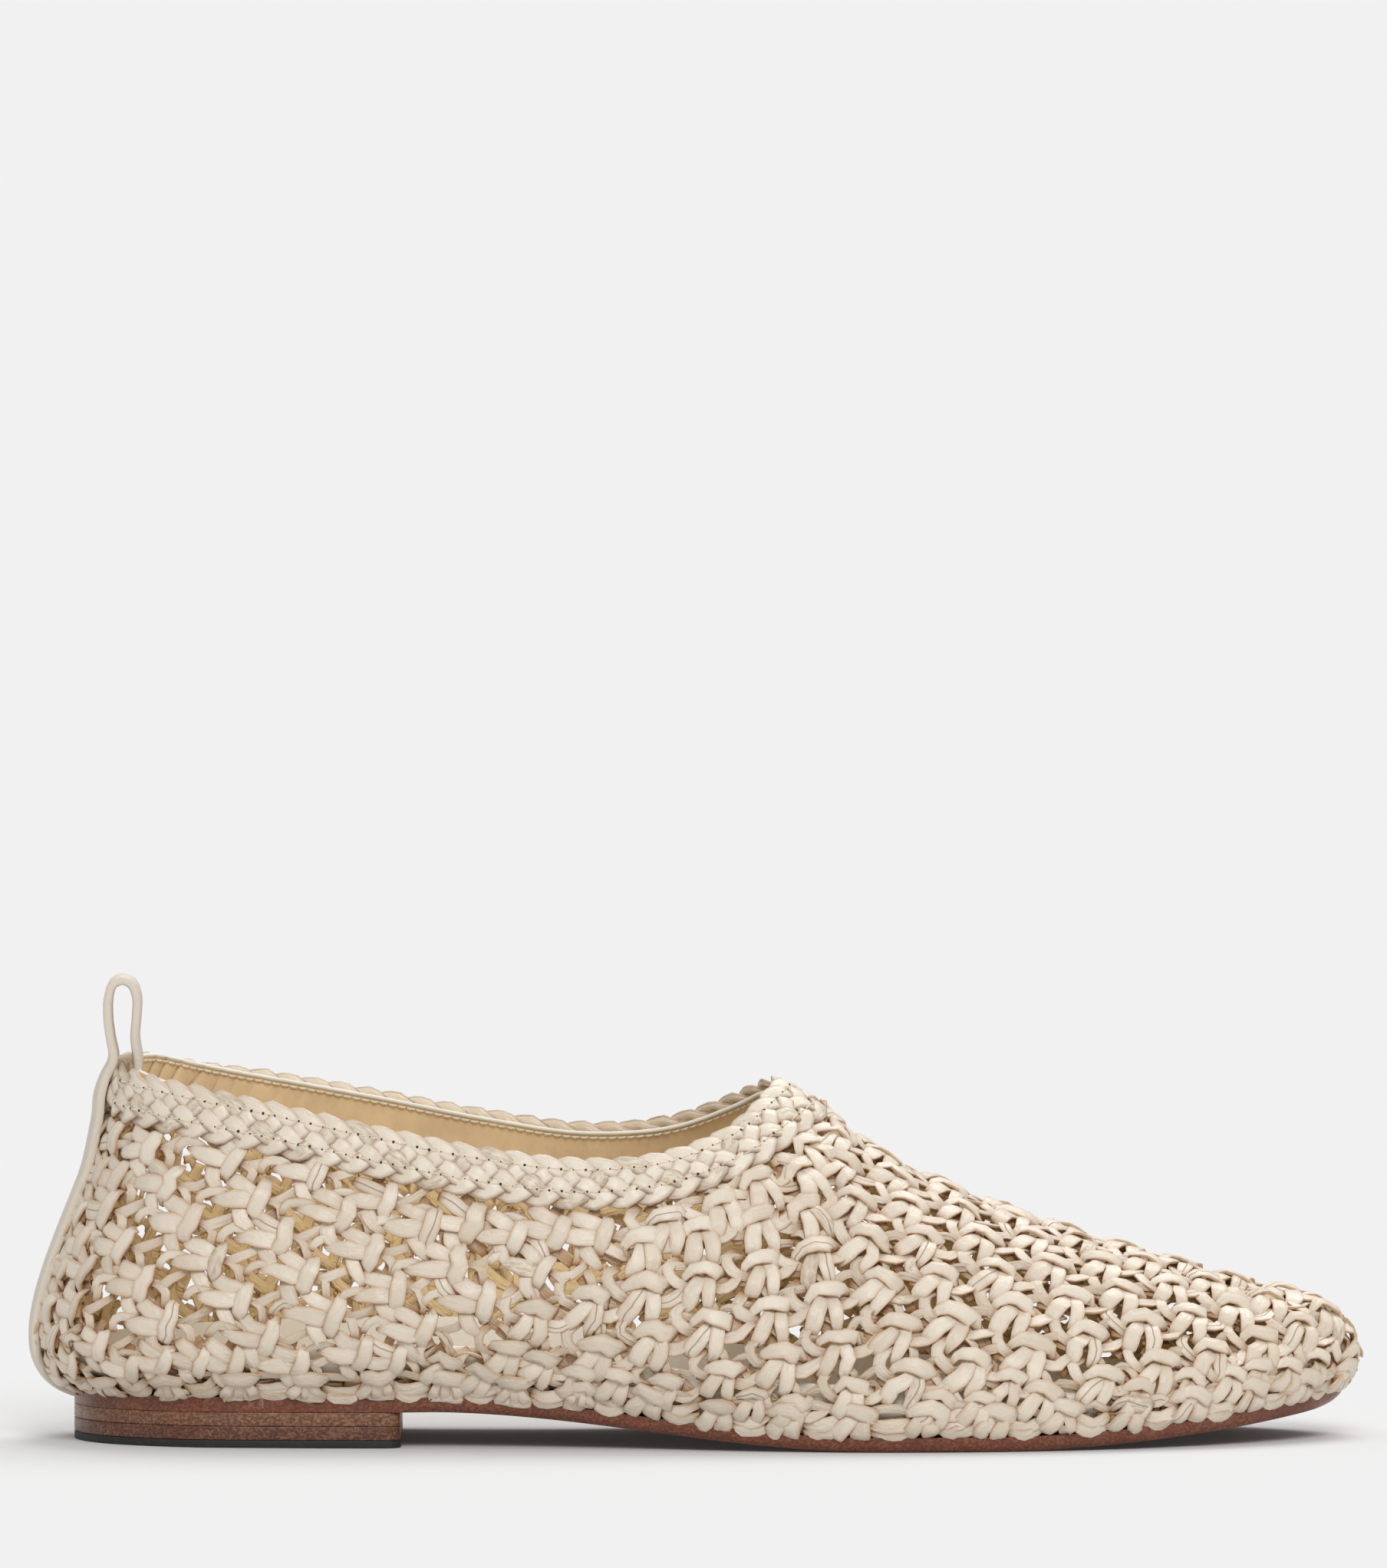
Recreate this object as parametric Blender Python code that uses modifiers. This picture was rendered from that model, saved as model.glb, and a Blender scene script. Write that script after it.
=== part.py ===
"""Woven leather ballet flat for the right foot: a hollow woven upper lasted over an insole onto a thin
leather sole with a low stacked heel, a plaited collar, and a heel strip that folds over into a pull loop.

The shoe points along +X, its outer (lateral) side faces -Y, and it stands on z = 0.
"""

from collections import namedtuple

import bmesh
import bpy
import numpy as np

MM = 0.001

# Driving sizes, in metres
SOLE_THICKNESS = 2.8 * MM
INSOLE_THICKNESS = 2.0 * MM
WALL = 2.0 * MM
COLLAR_THICKNESS = 2.0 * MM
STRIP_THICKNESS = 1.7 * MM
STRIP_WIDTH = 11.0 * MM
LINING_ROOM = 0.7 * MM
GAP = 0.3 * MM
COLLAR_SEAM = 0.4 * MM

# Heel stack, from the floor up
TOP_PIECE_THICKNESS = 1.2 * MM
LIFT_THICKNESS = 2.3 * MM
HEEL_HEIGHT = TOP_PIECE_THICKNESS + 2 * LIFT_THICKNESS + 3 * GAP
HEEL_BREAST_X = 70.0 * MM
HEEL_CORNER = 3.0 * MM

# Side view of the sole's underside
WAIST_START_X = 75.0 * MM
FLAT_START_X = 158.0 * MM
FLAT_END_X = 181.0 * MM
TOE_SPRING = 6.4 * MM
SPRING_POWER = 1.8

# Plan of the sole, in millimetres: x from the back of the shoe, half widths either side of the heel's axis
SoleStation = namedtuple("SoleStation", "x lateral medial")
SOLE_HEEL_X = 8.8
SOLE_TOE = (246.0, 7.0)
SOLE_STATIONS = (
    SoleStation(x=13.0, lateral=13.5, medial=13.0),
    SoleStation(x=27.0, lateral=24.0, medial=23.0),
    SoleStation(x=50.0, lateral=27.5, medial=26.0),
    SoleStation(x=80.0, lateral=28.5, medial=25.0),
    SoleStation(x=108.0, lateral=31.5, medial=24.0),
    SoleStation(x=135.0, lateral=37.0, medial=29.0),
    SoleStation(x=162.0, lateral=39.5, medial=36.5),
    SoleStation(x=188.0, lateral=36.5, medial=38.0),
    SoleStation(x=212.0, lateral=28.5, medial=34.5),
    SoleStation(x=231.0, lateral=16.5, medial=26.5),
    SoleStation(x=242.0, lateral=4.0, medial=17.0),
)

# Topline of the collar, in millimetres: the medial side is higher by its rise, and lean and drop lead from the
# topline to the plait's lower edge
CollarStation = namedtuple("CollarStation", "x lateral medial top rise lean drop")
COLLAR_HEEL = CollarStation(x=16.6, lateral=0.0, medial=0.0, top=70.0, rise=0.0, lean=1.6, drop=9.0)
COLLAR_STATIONS = (
    CollarStation(x=20.5, lateral=10.5, medial=10.5, top=69.0, rise=0.4, lean=1.8, drop=9.0),
    CollarStation(x=30.5, lateral=18.5, medial=18.5, top=67.0, rise=1.2, lean=2.1, drop=8.9),
    CollarStation(x=46.0, lateral=23.5, medial=23.0, top=63.9, rise=2.8, lean=2.3, drop=8.8),
    CollarStation(x=66.0, lateral=25.5, medial=25.0, top=59.5, rise=3.6, lean=2.3, drop=8.7),
    CollarStation(x=86.0, lateral=26.0, medial=25.5, top=55.6, rise=3.8, lean=2.6, drop=8.6),
    CollarStation(x=105.0, lateral=25.0, medial=25.0, top=53.5, rise=3.6, lean=3.4, drop=8.4),
    CollarStation(x=120.0, lateral=21.0, medial=22.5, top=54.7, rise=3.8, lean=5.0, drop=7.8),
    CollarStation(x=131.5, lateral=14.0, medial=16.5, top=59.3, rise=3.6, lean=7.4, drop=6.9),
    CollarStation(x=137.5, lateral=6.0, medial=9.0, top=64.6, rise=1.6, lean=9.2, drop=6.2),
)
COLLAR_THROAT = CollarStation(x=139.5, lateral=-1.5, medial=1.5, top=66.8, rise=0.0, lean=10.0, drop=6.2)
COLLAR_CROWN = 0.8 * MM

# Ridge of the vamp from the throat to the toe, in millimetres
RidgePoint = namedtuple("RidgePoint", "x height")
RIDGE = (
    RidgePoint(x=158.0, height=54.2),
    RidgePoint(x=172.0, height=47.0),
    RidgePoint(x=193.0, height=39.1),
    RidgePoint(x=214.0, height=32.7),
    RidgePoint(x=235.0, height=26.8),
)
RIDGE_TOE_Y = 7.0
RIDGE_EASE = 1.25
THROAT_SHARE = 0.615

# Wall section, in millimetres, by share of the way from heel to toe: how it leaves the sole and meets the top
WallStation = namedtuple("WallStation", "share flare lift shoulder drop")
WALL_STATIONS = (
    WallStation(share=0.00, flare=17.8, lift=4.0, shoulder=1.0, drop=16.0),
    WallStation(share=0.06, flare=15.5, lift=5.5, shoulder=2.0, drop=16.0),
    WallStation(share=0.16, flare=11.5, lift=9.5, shoulder=4.0, drop=14.0),
    WallStation(share=0.30, flare=9.0, lift=12.5, shoulder=7.0, drop=12.0),
    WallStation(share=0.43, flare=8.0, lift=13.5, shoulder=11.0, drop=10.0),
    WallStation(share=0.54, flare=7.0, lift=13.0, shoulder=19.0, drop=5.0),
    WallStation(share=0.64, flare=6.5, lift=12.5, shoulder=24.0, drop=0.0),
    WallStation(share=0.76, flare=6.0, lift=11.5, shoulder=21.0, drop=0.0),
    WallStation(share=0.88, flare=6.5, lift=9.0, shoulder=15.0, drop=0.0),
    WallStation(share=1.00, flare=8.0, lift=6.0, shoulder=10.0, drop=0.0),
)

# Pull loop above the topline, in millimetres: the middle of the strip, seen from the side
LoopPoint = namedtuple("LoopPoint", "x height")
LOOP = (
    LoopPoint(x=14.9, height=76.5),
    LoopPoint(x=15.3, height=81.9),
    LoopPoint(x=17.9, height=85.8),
    LoopPoint(x=20.2, height=81.9),
    LoopPoint(x=20.6, height=76.5),
)
LOOP_TAIL_DEPTH = 8.0 * MM

# Weave of the upper: columns for each side, rows from sole to top, and how far a knot stands out
UPPER_COLUMNS = 62
UPPER_ROWS = 14
KNOT_RAISE = 1.1 * MM
STRAND_RAISE = 0.4 * MM
GAP_PITCH = 4
HEEL_SEAT = STRIP_WIDTH / 2 + 2.0 * MM

# Plait of the collar
COLLAR_COLUMNS = 42
COLLAR_ROWS = 4
PLAIT_RAISE = 0.7 * MM

SOLE_COLUMNS = 48
SOLE_ROWS = 2
HEEL_ARC_POINTS = 20
STRIP_ROWS = 46
STRIP_KNOTS = 20
STRIP_COLUMNS = 4
WALL_SAMPLES = 25
CURVE_STEPS = 24

LATERAL, MEDIAL = -1, 1
Half = namedtuple("Half", "points tangents normals")


# Curves through the tables

def hermite(t, span, values, slopes, i):
    """The cubic from value i to value i + 1 that has their slopes, at a share t of the span between them."""
    return (
        (2 * t**3 - 3 * t**2 + 1) * values[i]
        + (t**3 - 2 * t**2 + t) * span * slopes[i]
        + (3 * t**2 - 2 * t**3) * values[i + 1]
        + (t**3 - t**2) * span * slopes[i + 1]
    )


def smooth_steps(knots, closed):
    """Points of a cubic that passes through the knots, with the knots' own spacing as its parameter."""
    knots = np.asarray(knots, float)
    if closed:
        padded = np.vstack([knots[-1:], knots, knots[:2]])
    else:
        first, last = 2 * knots[0] - knots[1], 2 * knots[-1] - knots[-2]
        padded = np.vstack([first, knots, last])
    chord = np.linalg.norm(np.diff(padded, axis=0), axis=1)[:, None]
    slope = np.diff(padded, axis=0) / chord
    tangent = (slope[:-1] * chord[1:] + slope[1:] * chord[:-1]) / (chord[:-1] + chord[1:])
    t = np.linspace(0, 1, CURVE_STEPS, endpoint=False)[:, None]
    passed = padded[1:-1]
    spans = [hermite(t, chord[i + 1], passed, tangent, i) for i in range(len(passed) - 1)]
    return np.vstack([*spans, passed[-1:]])


def run_length(points):
    """How far along the polyline each of its points lies."""
    return np.concatenate([[0], np.cumsum(np.linalg.norm(np.diff(points[:, :3], axis=0), axis=1))])


def along(points, share, values=None):
    """Points at these shares of the polyline's length, or the values that are kept at its points."""
    length = run_length(points)
    at = np.asarray(share) * length[-1]
    values = points if values is None else values
    return np.stack([np.interp(at, length, column) for column in values.T], axis=-1)


def unit(vectors):
    return vectors / np.linalg.norm(vectors, axis=-1, keepdims=True)


def table_value(rows, column, by, at):
    """A column of a table, read smoothly between its rows."""
    stations = np.array([getattr(row, by) for row in rows])
    values = np.array([getattr(row, column) for row in rows])
    slopes = np.gradient(values, stations)
    i = np.clip(np.searchsorted(stations, at) - 1, 0, len(stations) - 2)
    return hermite((at - stations[i]) / np.diff(stations)[i], np.diff(stations)[i], values, slopes, i)


def halves(heel, lateral, toe, medial):
    """The two sides of a closed curve, each from heel to toe: points, tangents and plan normals that face out."""
    loop = smooth_steps([heel, *lateral, toe, *reversed(medial)], closed=True)
    ring = loop[:-1]
    tangents = np.roll(ring, -1, axis=0) - np.roll(ring, 1, axis=0)
    tangents = unit(np.vstack([tangents, tangents[:1]])[:, :3])
    normals = unit(np.column_stack([tangents[:, 1], -tangents[:, 0]]))
    turn = (len(lateral) + 1) * CURVE_STEPS
    return {
        LATERAL: Half(*(row[: turn + 1] for row in (loop, tangents, normals))),
        MEDIAL: Half(*(row[: turn - 1 : -1] for row in (loop, tangents, normals))),
    }


# Last: sole plan, topline, ridge and the wall between them

SOLE_PLAN = halves(
    heel=(SOLE_HEEL_X * MM, 0.0),
    lateral=[(s.x * MM, -s.lateral * MM) for s in SOLE_STATIONS],
    toe=(SOLE_TOE[0] * MM, SOLE_TOE[1] * MM),
    medial=[(s.x * MM, s.medial * MM) for s in SOLE_STATIONS],
)


def collar_knot(station, side):
    half = station.lateral if side == LATERAL else station.medial
    top = station.top if side == LATERAL else station.top + station.rise
    return tuple(np.array([station.x, side * half, top, station.lean, station.drop]) * MM)


COLLAR_CURVE = halves(
    heel=collar_knot(COLLAR_HEEL, MEDIAL),
    lateral=[collar_knot(s, LATERAL) for s in COLLAR_STATIONS],
    toe=collar_knot(COLLAR_THROAT, MEDIAL),
    medial=[collar_knot(s, MEDIAL) for s in COLLAR_STATIONS],
)


def sole_bottom(x):
    """Height of the sole's underside: level at the heel, down through the waist, flat at the ball, up at the toe."""
    waist = np.clip((x - WAIST_START_X) / (FLAT_START_X - WAIST_START_X), 0, 1)
    spring = np.clip((x - FLAT_END_X) / (SOLE_TOE[0] * MM - FLAT_END_X), 0, None)
    return HEEL_HEIGHT * (1 - waist**2 * (3 - 2 * waist)) + TOE_SPRING * spring**SPRING_POWER


def sole_edge(side, share, inset=0.0):
    """Plan points of the sole's edge, moved inwards by the inset, and the outward normals there."""
    half = SOLE_PLAN[side]
    normals = unit(along(half.points, share, half.normals))
    return along(half.points, share) - inset * normals, normals


def collar_edges(side, share):
    """Topline, the way down the plait, and the plait's outward normal, at shares of the way to the throat."""
    half = COLLAR_CURVE[side]
    rows = along(half.points, share)
    outward = unit(along(half.points, share, half.normals))
    tangent = along(half.points, share, half.tangents)
    down = np.column_stack([outward * rows[:, 3:4], -rows[:, 4]])
    return rows[:, :3], down, unit(np.cross(down, tangent))


def ridge_curve():
    """The vamp's ridge from the plait's lower edge at the throat to the toe."""
    top, down, _ = collar_edges(LATERAL, np.array([1.0]))
    throat = top[0] + down[0] * (1 + COLLAR_SEAM / np.linalg.norm(down[0]))
    knots = [tuple(throat)]
    reach = RIDGE[-1].x * MM - throat[0]
    for point in RIDGE:
        part = (point.x * MM - throat[0]) / reach
        knots.append((point.x * MM, throat[1] + part * (RIDGE_TOE_Y * MM - throat[1]), point.height * MM))
    return smooth_steps(knots, closed=False)


RIDGE_CURVE = ridge_curve()


def wall_tops(side, share):
    """Where each wall column ends, on the plait's lower edge or on the ridge, and the surface normal there."""
    behind = share <= THROAT_SHARE
    tops, normals = np.zeros((len(share), 3)), np.zeros((len(share), 3))
    top, down, normal = collar_edges(side, share[behind] / THROAT_SHARE)
    seam = 1 + COLLAR_SEAM / np.linalg.norm(down, axis=1, keepdims=True)
    tops[behind], normals[behind] = top + down * seam, normal
    forward = (share[~behind] - THROAT_SHARE) / (1 - THROAT_SHARE)
    eased = 1 - (1 - forward) ** RIDGE_EASE
    tops[~behind] = along(RIDGE_CURVE, eased)
    slope = along(RIDGE_CURVE, eased, np.gradient(RIDGE_CURVE, axis=0))
    normals[~behind] = unit(np.column_stack([-slope[:, 2], np.zeros(len(slope)), slope[:, 0]]))
    return tops, normals


def wall_columns(side, share, heights):
    """Points of the upper's outer surface: a column for each share, a row for each height from 0 to 1."""
    share = np.asarray(share, float)
    edge, outward = sole_edge(side, share)
    base = np.column_stack([edge, sole_bottom(edge[:, 0]) + SOLE_THICKNESS + GAP])
    tops, normals = wall_tops(side, share)
    read = {
        column: table_value(WALL_STATIONS, column, "share", share)[:, None] * MM
        for column in ("flare", "lift", "shoulder", "drop")
    }
    up = np.array([0.0, 0.0, 1.0])
    out = np.column_stack([outward, np.zeros(len(share))])
    lower = base + out * read["flare"] + up * read["lift"]
    away = out * read["shoulder"] - up * read["drop"]
    away -= normals * np.sum(away * normals, axis=1, keepdims=True)
    upper = tops + away
    t = np.linspace(0, 1, WALL_SAMPLES)[:, None, None]
    curves = (1 - t) ** 3 * base + 3 * (1 - t) ** 2 * t * lower + 3 * (1 - t) * t**2 * upper + t**3 * tops
    return np.stack([along(curves[:, i], heights) for i in range(len(share))])


# Blender helpers

def leather(name, colour, roughness):
    material = bpy.data.materials.new(name)
    material.use_nodes = True
    shader = material.node_tree.nodes["Principled BSDF"]
    shader.inputs["Base Color"].default_value = (*colour, 1.0)
    shader.inputs["Roughness"].default_value = roughness
    shader.inputs["Metallic"].default_value = 0.0
    return material


def add_part(name, mesh, material):
    part = bpy.data.objects.new(name, mesh)
    mesh.materials.append(material)
    shoe_parts.objects.link(part)
    part.parent = shoe_root
    return part


def sheet(name, columns, rows, place, raise_by=None, is_gap=None):
    """A grid of columns by rows laid out by place(column shares, row shares), with raised points and gaps."""
    bm = bmesh.new()
    bmesh.ops.create_grid(bm, x_segments=columns, y_segments=rows, size=1.0)
    bm.verts.ensure_lookup_table()
    places = place(np.linspace(0, 1, columns + 1), np.linspace(0, 1, rows + 1))
    raised = bm.verts.layers.float.new("raised")
    gaps = []
    for face in bm.faces:
        centre = face.calc_center_median()
        column = int((centre.x + 1) / 2 * columns)
        row = int((centre.y + 1) / 2 * rows)
        if is_gap and is_gap(column, row):
            gaps.append(face)
    for vert in bm.verts:
        column = round((vert.co.x + 1) / 2 * columns)
        row = round((vert.co.y + 1) / 2 * rows)
        vert[raised] = raise_by(column, row) if raise_by else 0.0
        vert.co = places[column, row]
    bmesh.ops.delete(bm, geom=gaps, context="FACES")
    bmesh.ops.remove_doubles(bm, verts=bm.verts, dist=0.01 * MM)
    bm.normal_update()
    for vert in bm.verts:
        vert.co += vert.normal * vert[raised]
    mesh = bpy.data.meshes.new(name)
    bm.to_mesh(mesh)
    bm.free()
    mesh.shade_smooth()
    return mesh


def thicken(part, thickness, offset):
    """Gives a sheet its thickness: offset -1 keeps the sheet as the outer face, 1 as the inner, 0 as the middle."""
    solid = part.modifiers.new("Thickness", "SOLIDIFY")
    solid.thickness = thickness
    solid.offset = offset
    solid.use_rim = True
    return part


# Sub-parts

def both_sides(shares, read):
    """Reads a side's columns from heel to toe along the lateral side, then back along the medial side."""
    lateral = shares <= 0.5
    return np.concatenate([
        read(LATERAL, shares[lateral] * 2),
        read(MEDIAL, (1 - shares[~lateral]) * 2),
    ])


def build_sole_plate(name, inset, lift, thickness, material):
    """A plate under the foot, as wide as the sole less the inset, that follows the sole's side view."""
    def place(shares, across):
        lateral, _ = sole_edge(LATERAL, shares, inset)
        medial, _ = sole_edge(MEDIAL, shares, inset)
        step = across[None, :, None]
        plan = lateral[:, None] * (1 - step) + medial[:, None] * step
        return np.concatenate([plan, sole_bottom(plan[..., :1]) + lift], axis=2)

    part = add_part(name, sheet(name, SOLE_COLUMNS, SOLE_ROWS, place), material)
    return thicken(part, thickness, 1)


def heel_outline():
    """Plan of the heel: the sole's own edge at the back, cut straight across at the breast with eased corners."""
    sides = {}
    for side in (LATERAL, MEDIAL):
        shares = np.linspace(0, 1, SOLE_COLUMNS * HEEL_ARC_POINTS)
        edge, _ = sole_edge(side, shares)
        behind = edge[edge[:, 0] <= HEEL_BREAST_X - HEEL_CORNER]
        sides[side] = along(behind, np.linspace(0, 1, HEEL_ARC_POINTS))
    corner = np.array([HEEL_CORNER, 0.0])
    lateral_turn = sides[LATERAL][-1] + corner + np.array([0.0, HEEL_CORNER])
    medial_turn = sides[MEDIAL][-1] + corner - np.array([0.0, HEEL_CORNER])
    ease = 1 - np.sqrt(0.5)
    lateral_mid = lateral_turn - ease * np.array([HEEL_CORNER, HEEL_CORNER])
    medial_mid = medial_turn - ease * np.array([HEEL_CORNER, -HEEL_CORNER])
    lateral_mid[1] = sides[LATERAL][-1][1] + ease * HEEL_CORNER
    medial_mid[1] = sides[MEDIAL][-1][1] - ease * HEEL_CORNER
    return [*sides[LATERAL], lateral_mid, lateral_turn, medial_turn, medial_mid, *sides[MEDIAL][:0:-1]]


def build_heel_layer(name, bottom, thickness, material):
    curve = bpy.data.curves.new(name, "CURVE")
    curve.dimensions = "2D"
    curve.fill_mode = "BOTH"
    curve.extrude = thickness / 2
    outline = heel_outline()
    spline = curve.splines.new("POLY")
    spline.points.add(len(outline) - 1)
    for point, plan in zip(spline.points, outline):
        point.co = (*plan, 0.0, 1.0)
    spline.use_cyclic_u = True
    curve.materials.append(material)
    layer = bpy.data.objects.new(name, curve)
    layer.location.z = bottom + thickness / 2
    shoe_parts.objects.link(layer)
    layer.parent = shoe_root
    return layer


def build_upper(material):
    """The woven wall: knots stand out in a brick pattern, and gaps are left between them."""
    columns = 2 * UPPER_COLUMNS
    throat_column = THROAT_SHARE * UPPER_COLUMNS
    column_pitch = run_length(SOLE_PLAN[LATERAL].points)[-1] / UPPER_COLUMNS
    seat_columns = int(np.ceil(HEEL_SEAT / column_pitch))

    def place(shares, heights):
        return both_sides(shares, lambda side, share: wall_columns(side, share, heights))

    def from_heel(column):
        return min(column, columns - column)

    def raise_by(column, row):
        at_collar = row == UPPER_ROWS and from_heel(column) <= throat_column
        if from_heel(column) <= seat_columns or at_collar or row == 0:
            return 0.0
        is_knot = column % 2 == 0 and (row + column // 2) % 2 == 0
        return KNOT_RAISE if is_knot else STRAND_RAISE * (column % 2)

    def is_gap(column, row):
        inside = 0 < row < UPPER_ROWS - 1 and from_heel(column) > seat_columns + 1
        shifted = row + (GAP_PITCH // 2) * ((column // GAP_PITCH) % 2)
        return inside and column % GAP_PITCH == 1 and shifted % GAP_PITCH == 2

    part = add_part("upper", sheet("upper", columns, UPPER_ROWS, place, raise_by, is_gap), material)
    return thicken(part, WALL, -1)


def build_collar(material):
    """The plaited band round the topline."""
    columns = 2 * COLLAR_COLUMNS

    def place(shares, heights):
        def band(side, share):
            top, down, normal = collar_edges(side, share)
            crown = COLLAR_CROWN * 4 * heights * (1 - heights)
            fall = down[:, None] * (1 - heights)[None, :, None]
            return top[:, None] + fall + normal[:, None] * crown[None, :, None]

        return both_sides(shares, band)

    column_pitch = run_length(COLLAR_CURVE[LATERAL].points)[-1] / COLLAR_COLUMNS
    seat_columns = int(np.ceil(HEEL_SEAT / column_pitch))

    def raise_by(column, row):
        on_seat = min(column, columns - column) <= seat_columns
        on_edge = row in (0, COLLAR_ROWS)
        return 0.0 if on_seat or on_edge else PLAIT_RAISE * ((column + row) % 2)

    part = add_part("collar_plait", sheet("collar_plait", columns, COLLAR_ROWS, place, raise_by), material)
    return thicken(part, COLLAR_THICKNESS, -1)


def strip_path():
    """Middle line of the heel strip in side view, and how far its edges come forward round the heel."""
    half = STRIP_WIDTH / 2
    heights = np.linspace(0, 1, CURVE_STEPS)
    wall_shares = np.array([0.0, half / run_length(SOLE_PLAN[LATERAL].points)[-1]])
    collar_shares = np.array([0.0, half / run_length(COLLAR_CURVE[LATERAL].points)[-1]])
    top, down, _ = collar_edges(LATERAL, collar_shares)
    crown = np.array([-COLLAR_CROWN, 0.0, 0.0]) * (4 * heights * (1 - heights))[:, None]
    plait = top[:, None] + down[:, None] * (1 - heights)[None, :, None] + crown
    back = np.concatenate([wall_columns(LATERAL, wall_shares, heights)[:, :-1], plait], axis=1)
    middle = back[0][:, [0, 2]]
    aside = back[1] - back[0]
    sag = aside[:, 0] * (half / aside[:, 1]) ** 2
    tangent = np.gradient(middle, axis=0)
    away = unit(np.column_stack([-tangent[:, 1], tangent[:, 0]]))
    outer_face = np.column_stack([middle + away * (GAP + STRIP_THICKNESS / 2), sag])
    climb = along(outer_face, np.linspace(0, 1, STRIP_KNOTS))
    loop = np.array([(p.x * MM, p.height * MM, 0.0) for p in LOOP])
    entry = np.array([top[0, 0] + COLLAR_THICKNESS + LINING_ROOM + GAP + STRIP_THICKNESS / 2, top[0, 2], sag[-1]])
    tail = entry + LOOP_TAIL_DEPTH * unit(np.array([down[0, 0], down[0, 2], 0.0]))
    return smooth_steps(np.vstack([climb, loop, entry, tail]), closed=False)


def build_strip(material):
    """The strip up the back of the heel, folded over into the pull loop, with its end inside the collar."""
    path = strip_path()

    def place(across, heights):
        row = along(path, heights)
        y = (across - 0.5) * STRIP_WIDTH
        bow = (2 * across - 1) ** 2
        x = row[None, :, 0] + row[None, :, 2] * bow[:, None]
        return np.stack([x, np.repeat(y[:, None], len(heights), 1), np.repeat(row[None, :, 1], len(y), 0)], 2)

    mesh = sheet("heel_strip_loop", STRIP_COLUMNS, STRIP_ROWS, lambda a, h: place(1 - a, h))
    return thicken(add_part("heel_strip_loop", mesh, material), STRIP_THICKNESS, 0)


def centre_on_floor():
    """Moves the whole shoe so that its box is centred over the origin."""
    bpy.context.view_layer.update()
    graph = bpy.context.evaluated_depsgraph_get()
    points = []
    for part in shoe_parts.objects:
        if part.type != "EMPTY":
            evaluated = part.evaluated_get(graph)
            points += [evaluated.matrix_world @ vert.co for vert in evaluated.to_mesh().vertices]
    low, high = np.min(points, axis=0), np.max(points, axis=0)
    shoe_root.location = (-(low[0] + high[0]) / 2, -(low[1] + high[1]) / 2, 0.0)


for old in list(bpy.data.objects):
    bpy.data.objects.remove(old)
shoe_parts = bpy.data.collections.new("ballet_flat")
bpy.context.scene.collection.children.link(shoe_parts)
shoe_root = bpy.data.objects.new("shoe_root", None)
shoe_parts.objects.link(shoe_root)

woven_leather = leather("woven_leather", (0.66, 0.57, 0.45), 0.55)
strip_leather = leather("strip_leather", (0.66, 0.59, 0.50), 0.50)
insole_leather = leather("insole_leather", (0.77, 0.67, 0.52), 0.60)
sole_leather = leather("sole_leather", (0.12, 0.05, 0.025), 0.50)
lift_leather = leather("lift_leather", (0.15, 0.07, 0.05), 0.50)
heel_rubber = leather("heel_rubber", (0.012, 0.012, 0.012), 0.70)

build_heel_layer("heel_top_piece", 0.0, TOP_PIECE_THICKNESS, heel_rubber)
lower_lift = TOP_PIECE_THICKNESS + GAP
upper_lift = lower_lift + LIFT_THICKNESS + GAP
build_heel_layer("heel_lift_lower", lower_lift, LIFT_THICKNESS, lift_leather)
build_heel_layer("heel_lift_upper", upper_lift, LIFT_THICKNESS, lift_leather)
build_sole_plate("outsole", 0.0, 0.0, SOLE_THICKNESS, sole_leather)
build_sole_plate("insole", WALL + 2 * GAP, SOLE_THICKNESS + GAP, INSOLE_THICKNESS, insole_leather)
build_upper(woven_leather)
build_collar(woven_leather)
build_strip(strip_leather)
centre_on_floor()
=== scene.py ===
"""Looks of the woven leather ballet flat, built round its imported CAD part.

The strands of the weave, the plait with its stitching, the lining, the heel strip with its pull loop, the
insole, the sole and the heel stack are pieces of their own. The shoe is modelled in millimetres, as its CAD
source is, and each mesh is moved to the frame's metres when it is made.
"""

import math
from collections import namedtuple

import bmesh
import bpy
import numpy as np
from bpy.props import FloatProperty, FloatVectorProperty, IntProperty, PointerProperty
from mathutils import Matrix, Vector
from mathutils.bvhtree import BVHTree


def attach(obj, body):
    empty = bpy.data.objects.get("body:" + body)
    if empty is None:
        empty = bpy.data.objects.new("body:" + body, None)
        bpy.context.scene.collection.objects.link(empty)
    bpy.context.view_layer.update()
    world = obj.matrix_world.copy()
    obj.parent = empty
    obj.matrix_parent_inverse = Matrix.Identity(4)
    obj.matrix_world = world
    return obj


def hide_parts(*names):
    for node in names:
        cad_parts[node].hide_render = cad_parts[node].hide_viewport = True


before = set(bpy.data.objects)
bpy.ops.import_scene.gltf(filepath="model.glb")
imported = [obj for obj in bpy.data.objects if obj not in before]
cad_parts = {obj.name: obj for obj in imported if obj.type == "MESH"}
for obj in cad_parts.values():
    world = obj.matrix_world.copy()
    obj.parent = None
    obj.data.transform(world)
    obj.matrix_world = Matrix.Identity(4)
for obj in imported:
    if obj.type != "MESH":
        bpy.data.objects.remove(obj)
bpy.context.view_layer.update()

bl_info = {
    "name": "Woven Ballet Flat",
    "version": (1, 0, 0),
    "blender": (4, 5, 0),
    "location": "3D View > Sidebar > Ballet Flat",
    "description": "Builds the looks of a woven leather ballet flat round its CAD part",
    "category": "Object",
}

MM = 0.001

# Where the CAD frame's origin lies in the shoe's own millimetres, which start at the back of the heel
FRAME_ORIGIN = np.array([124.904, -0.764, 0.0])

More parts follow.
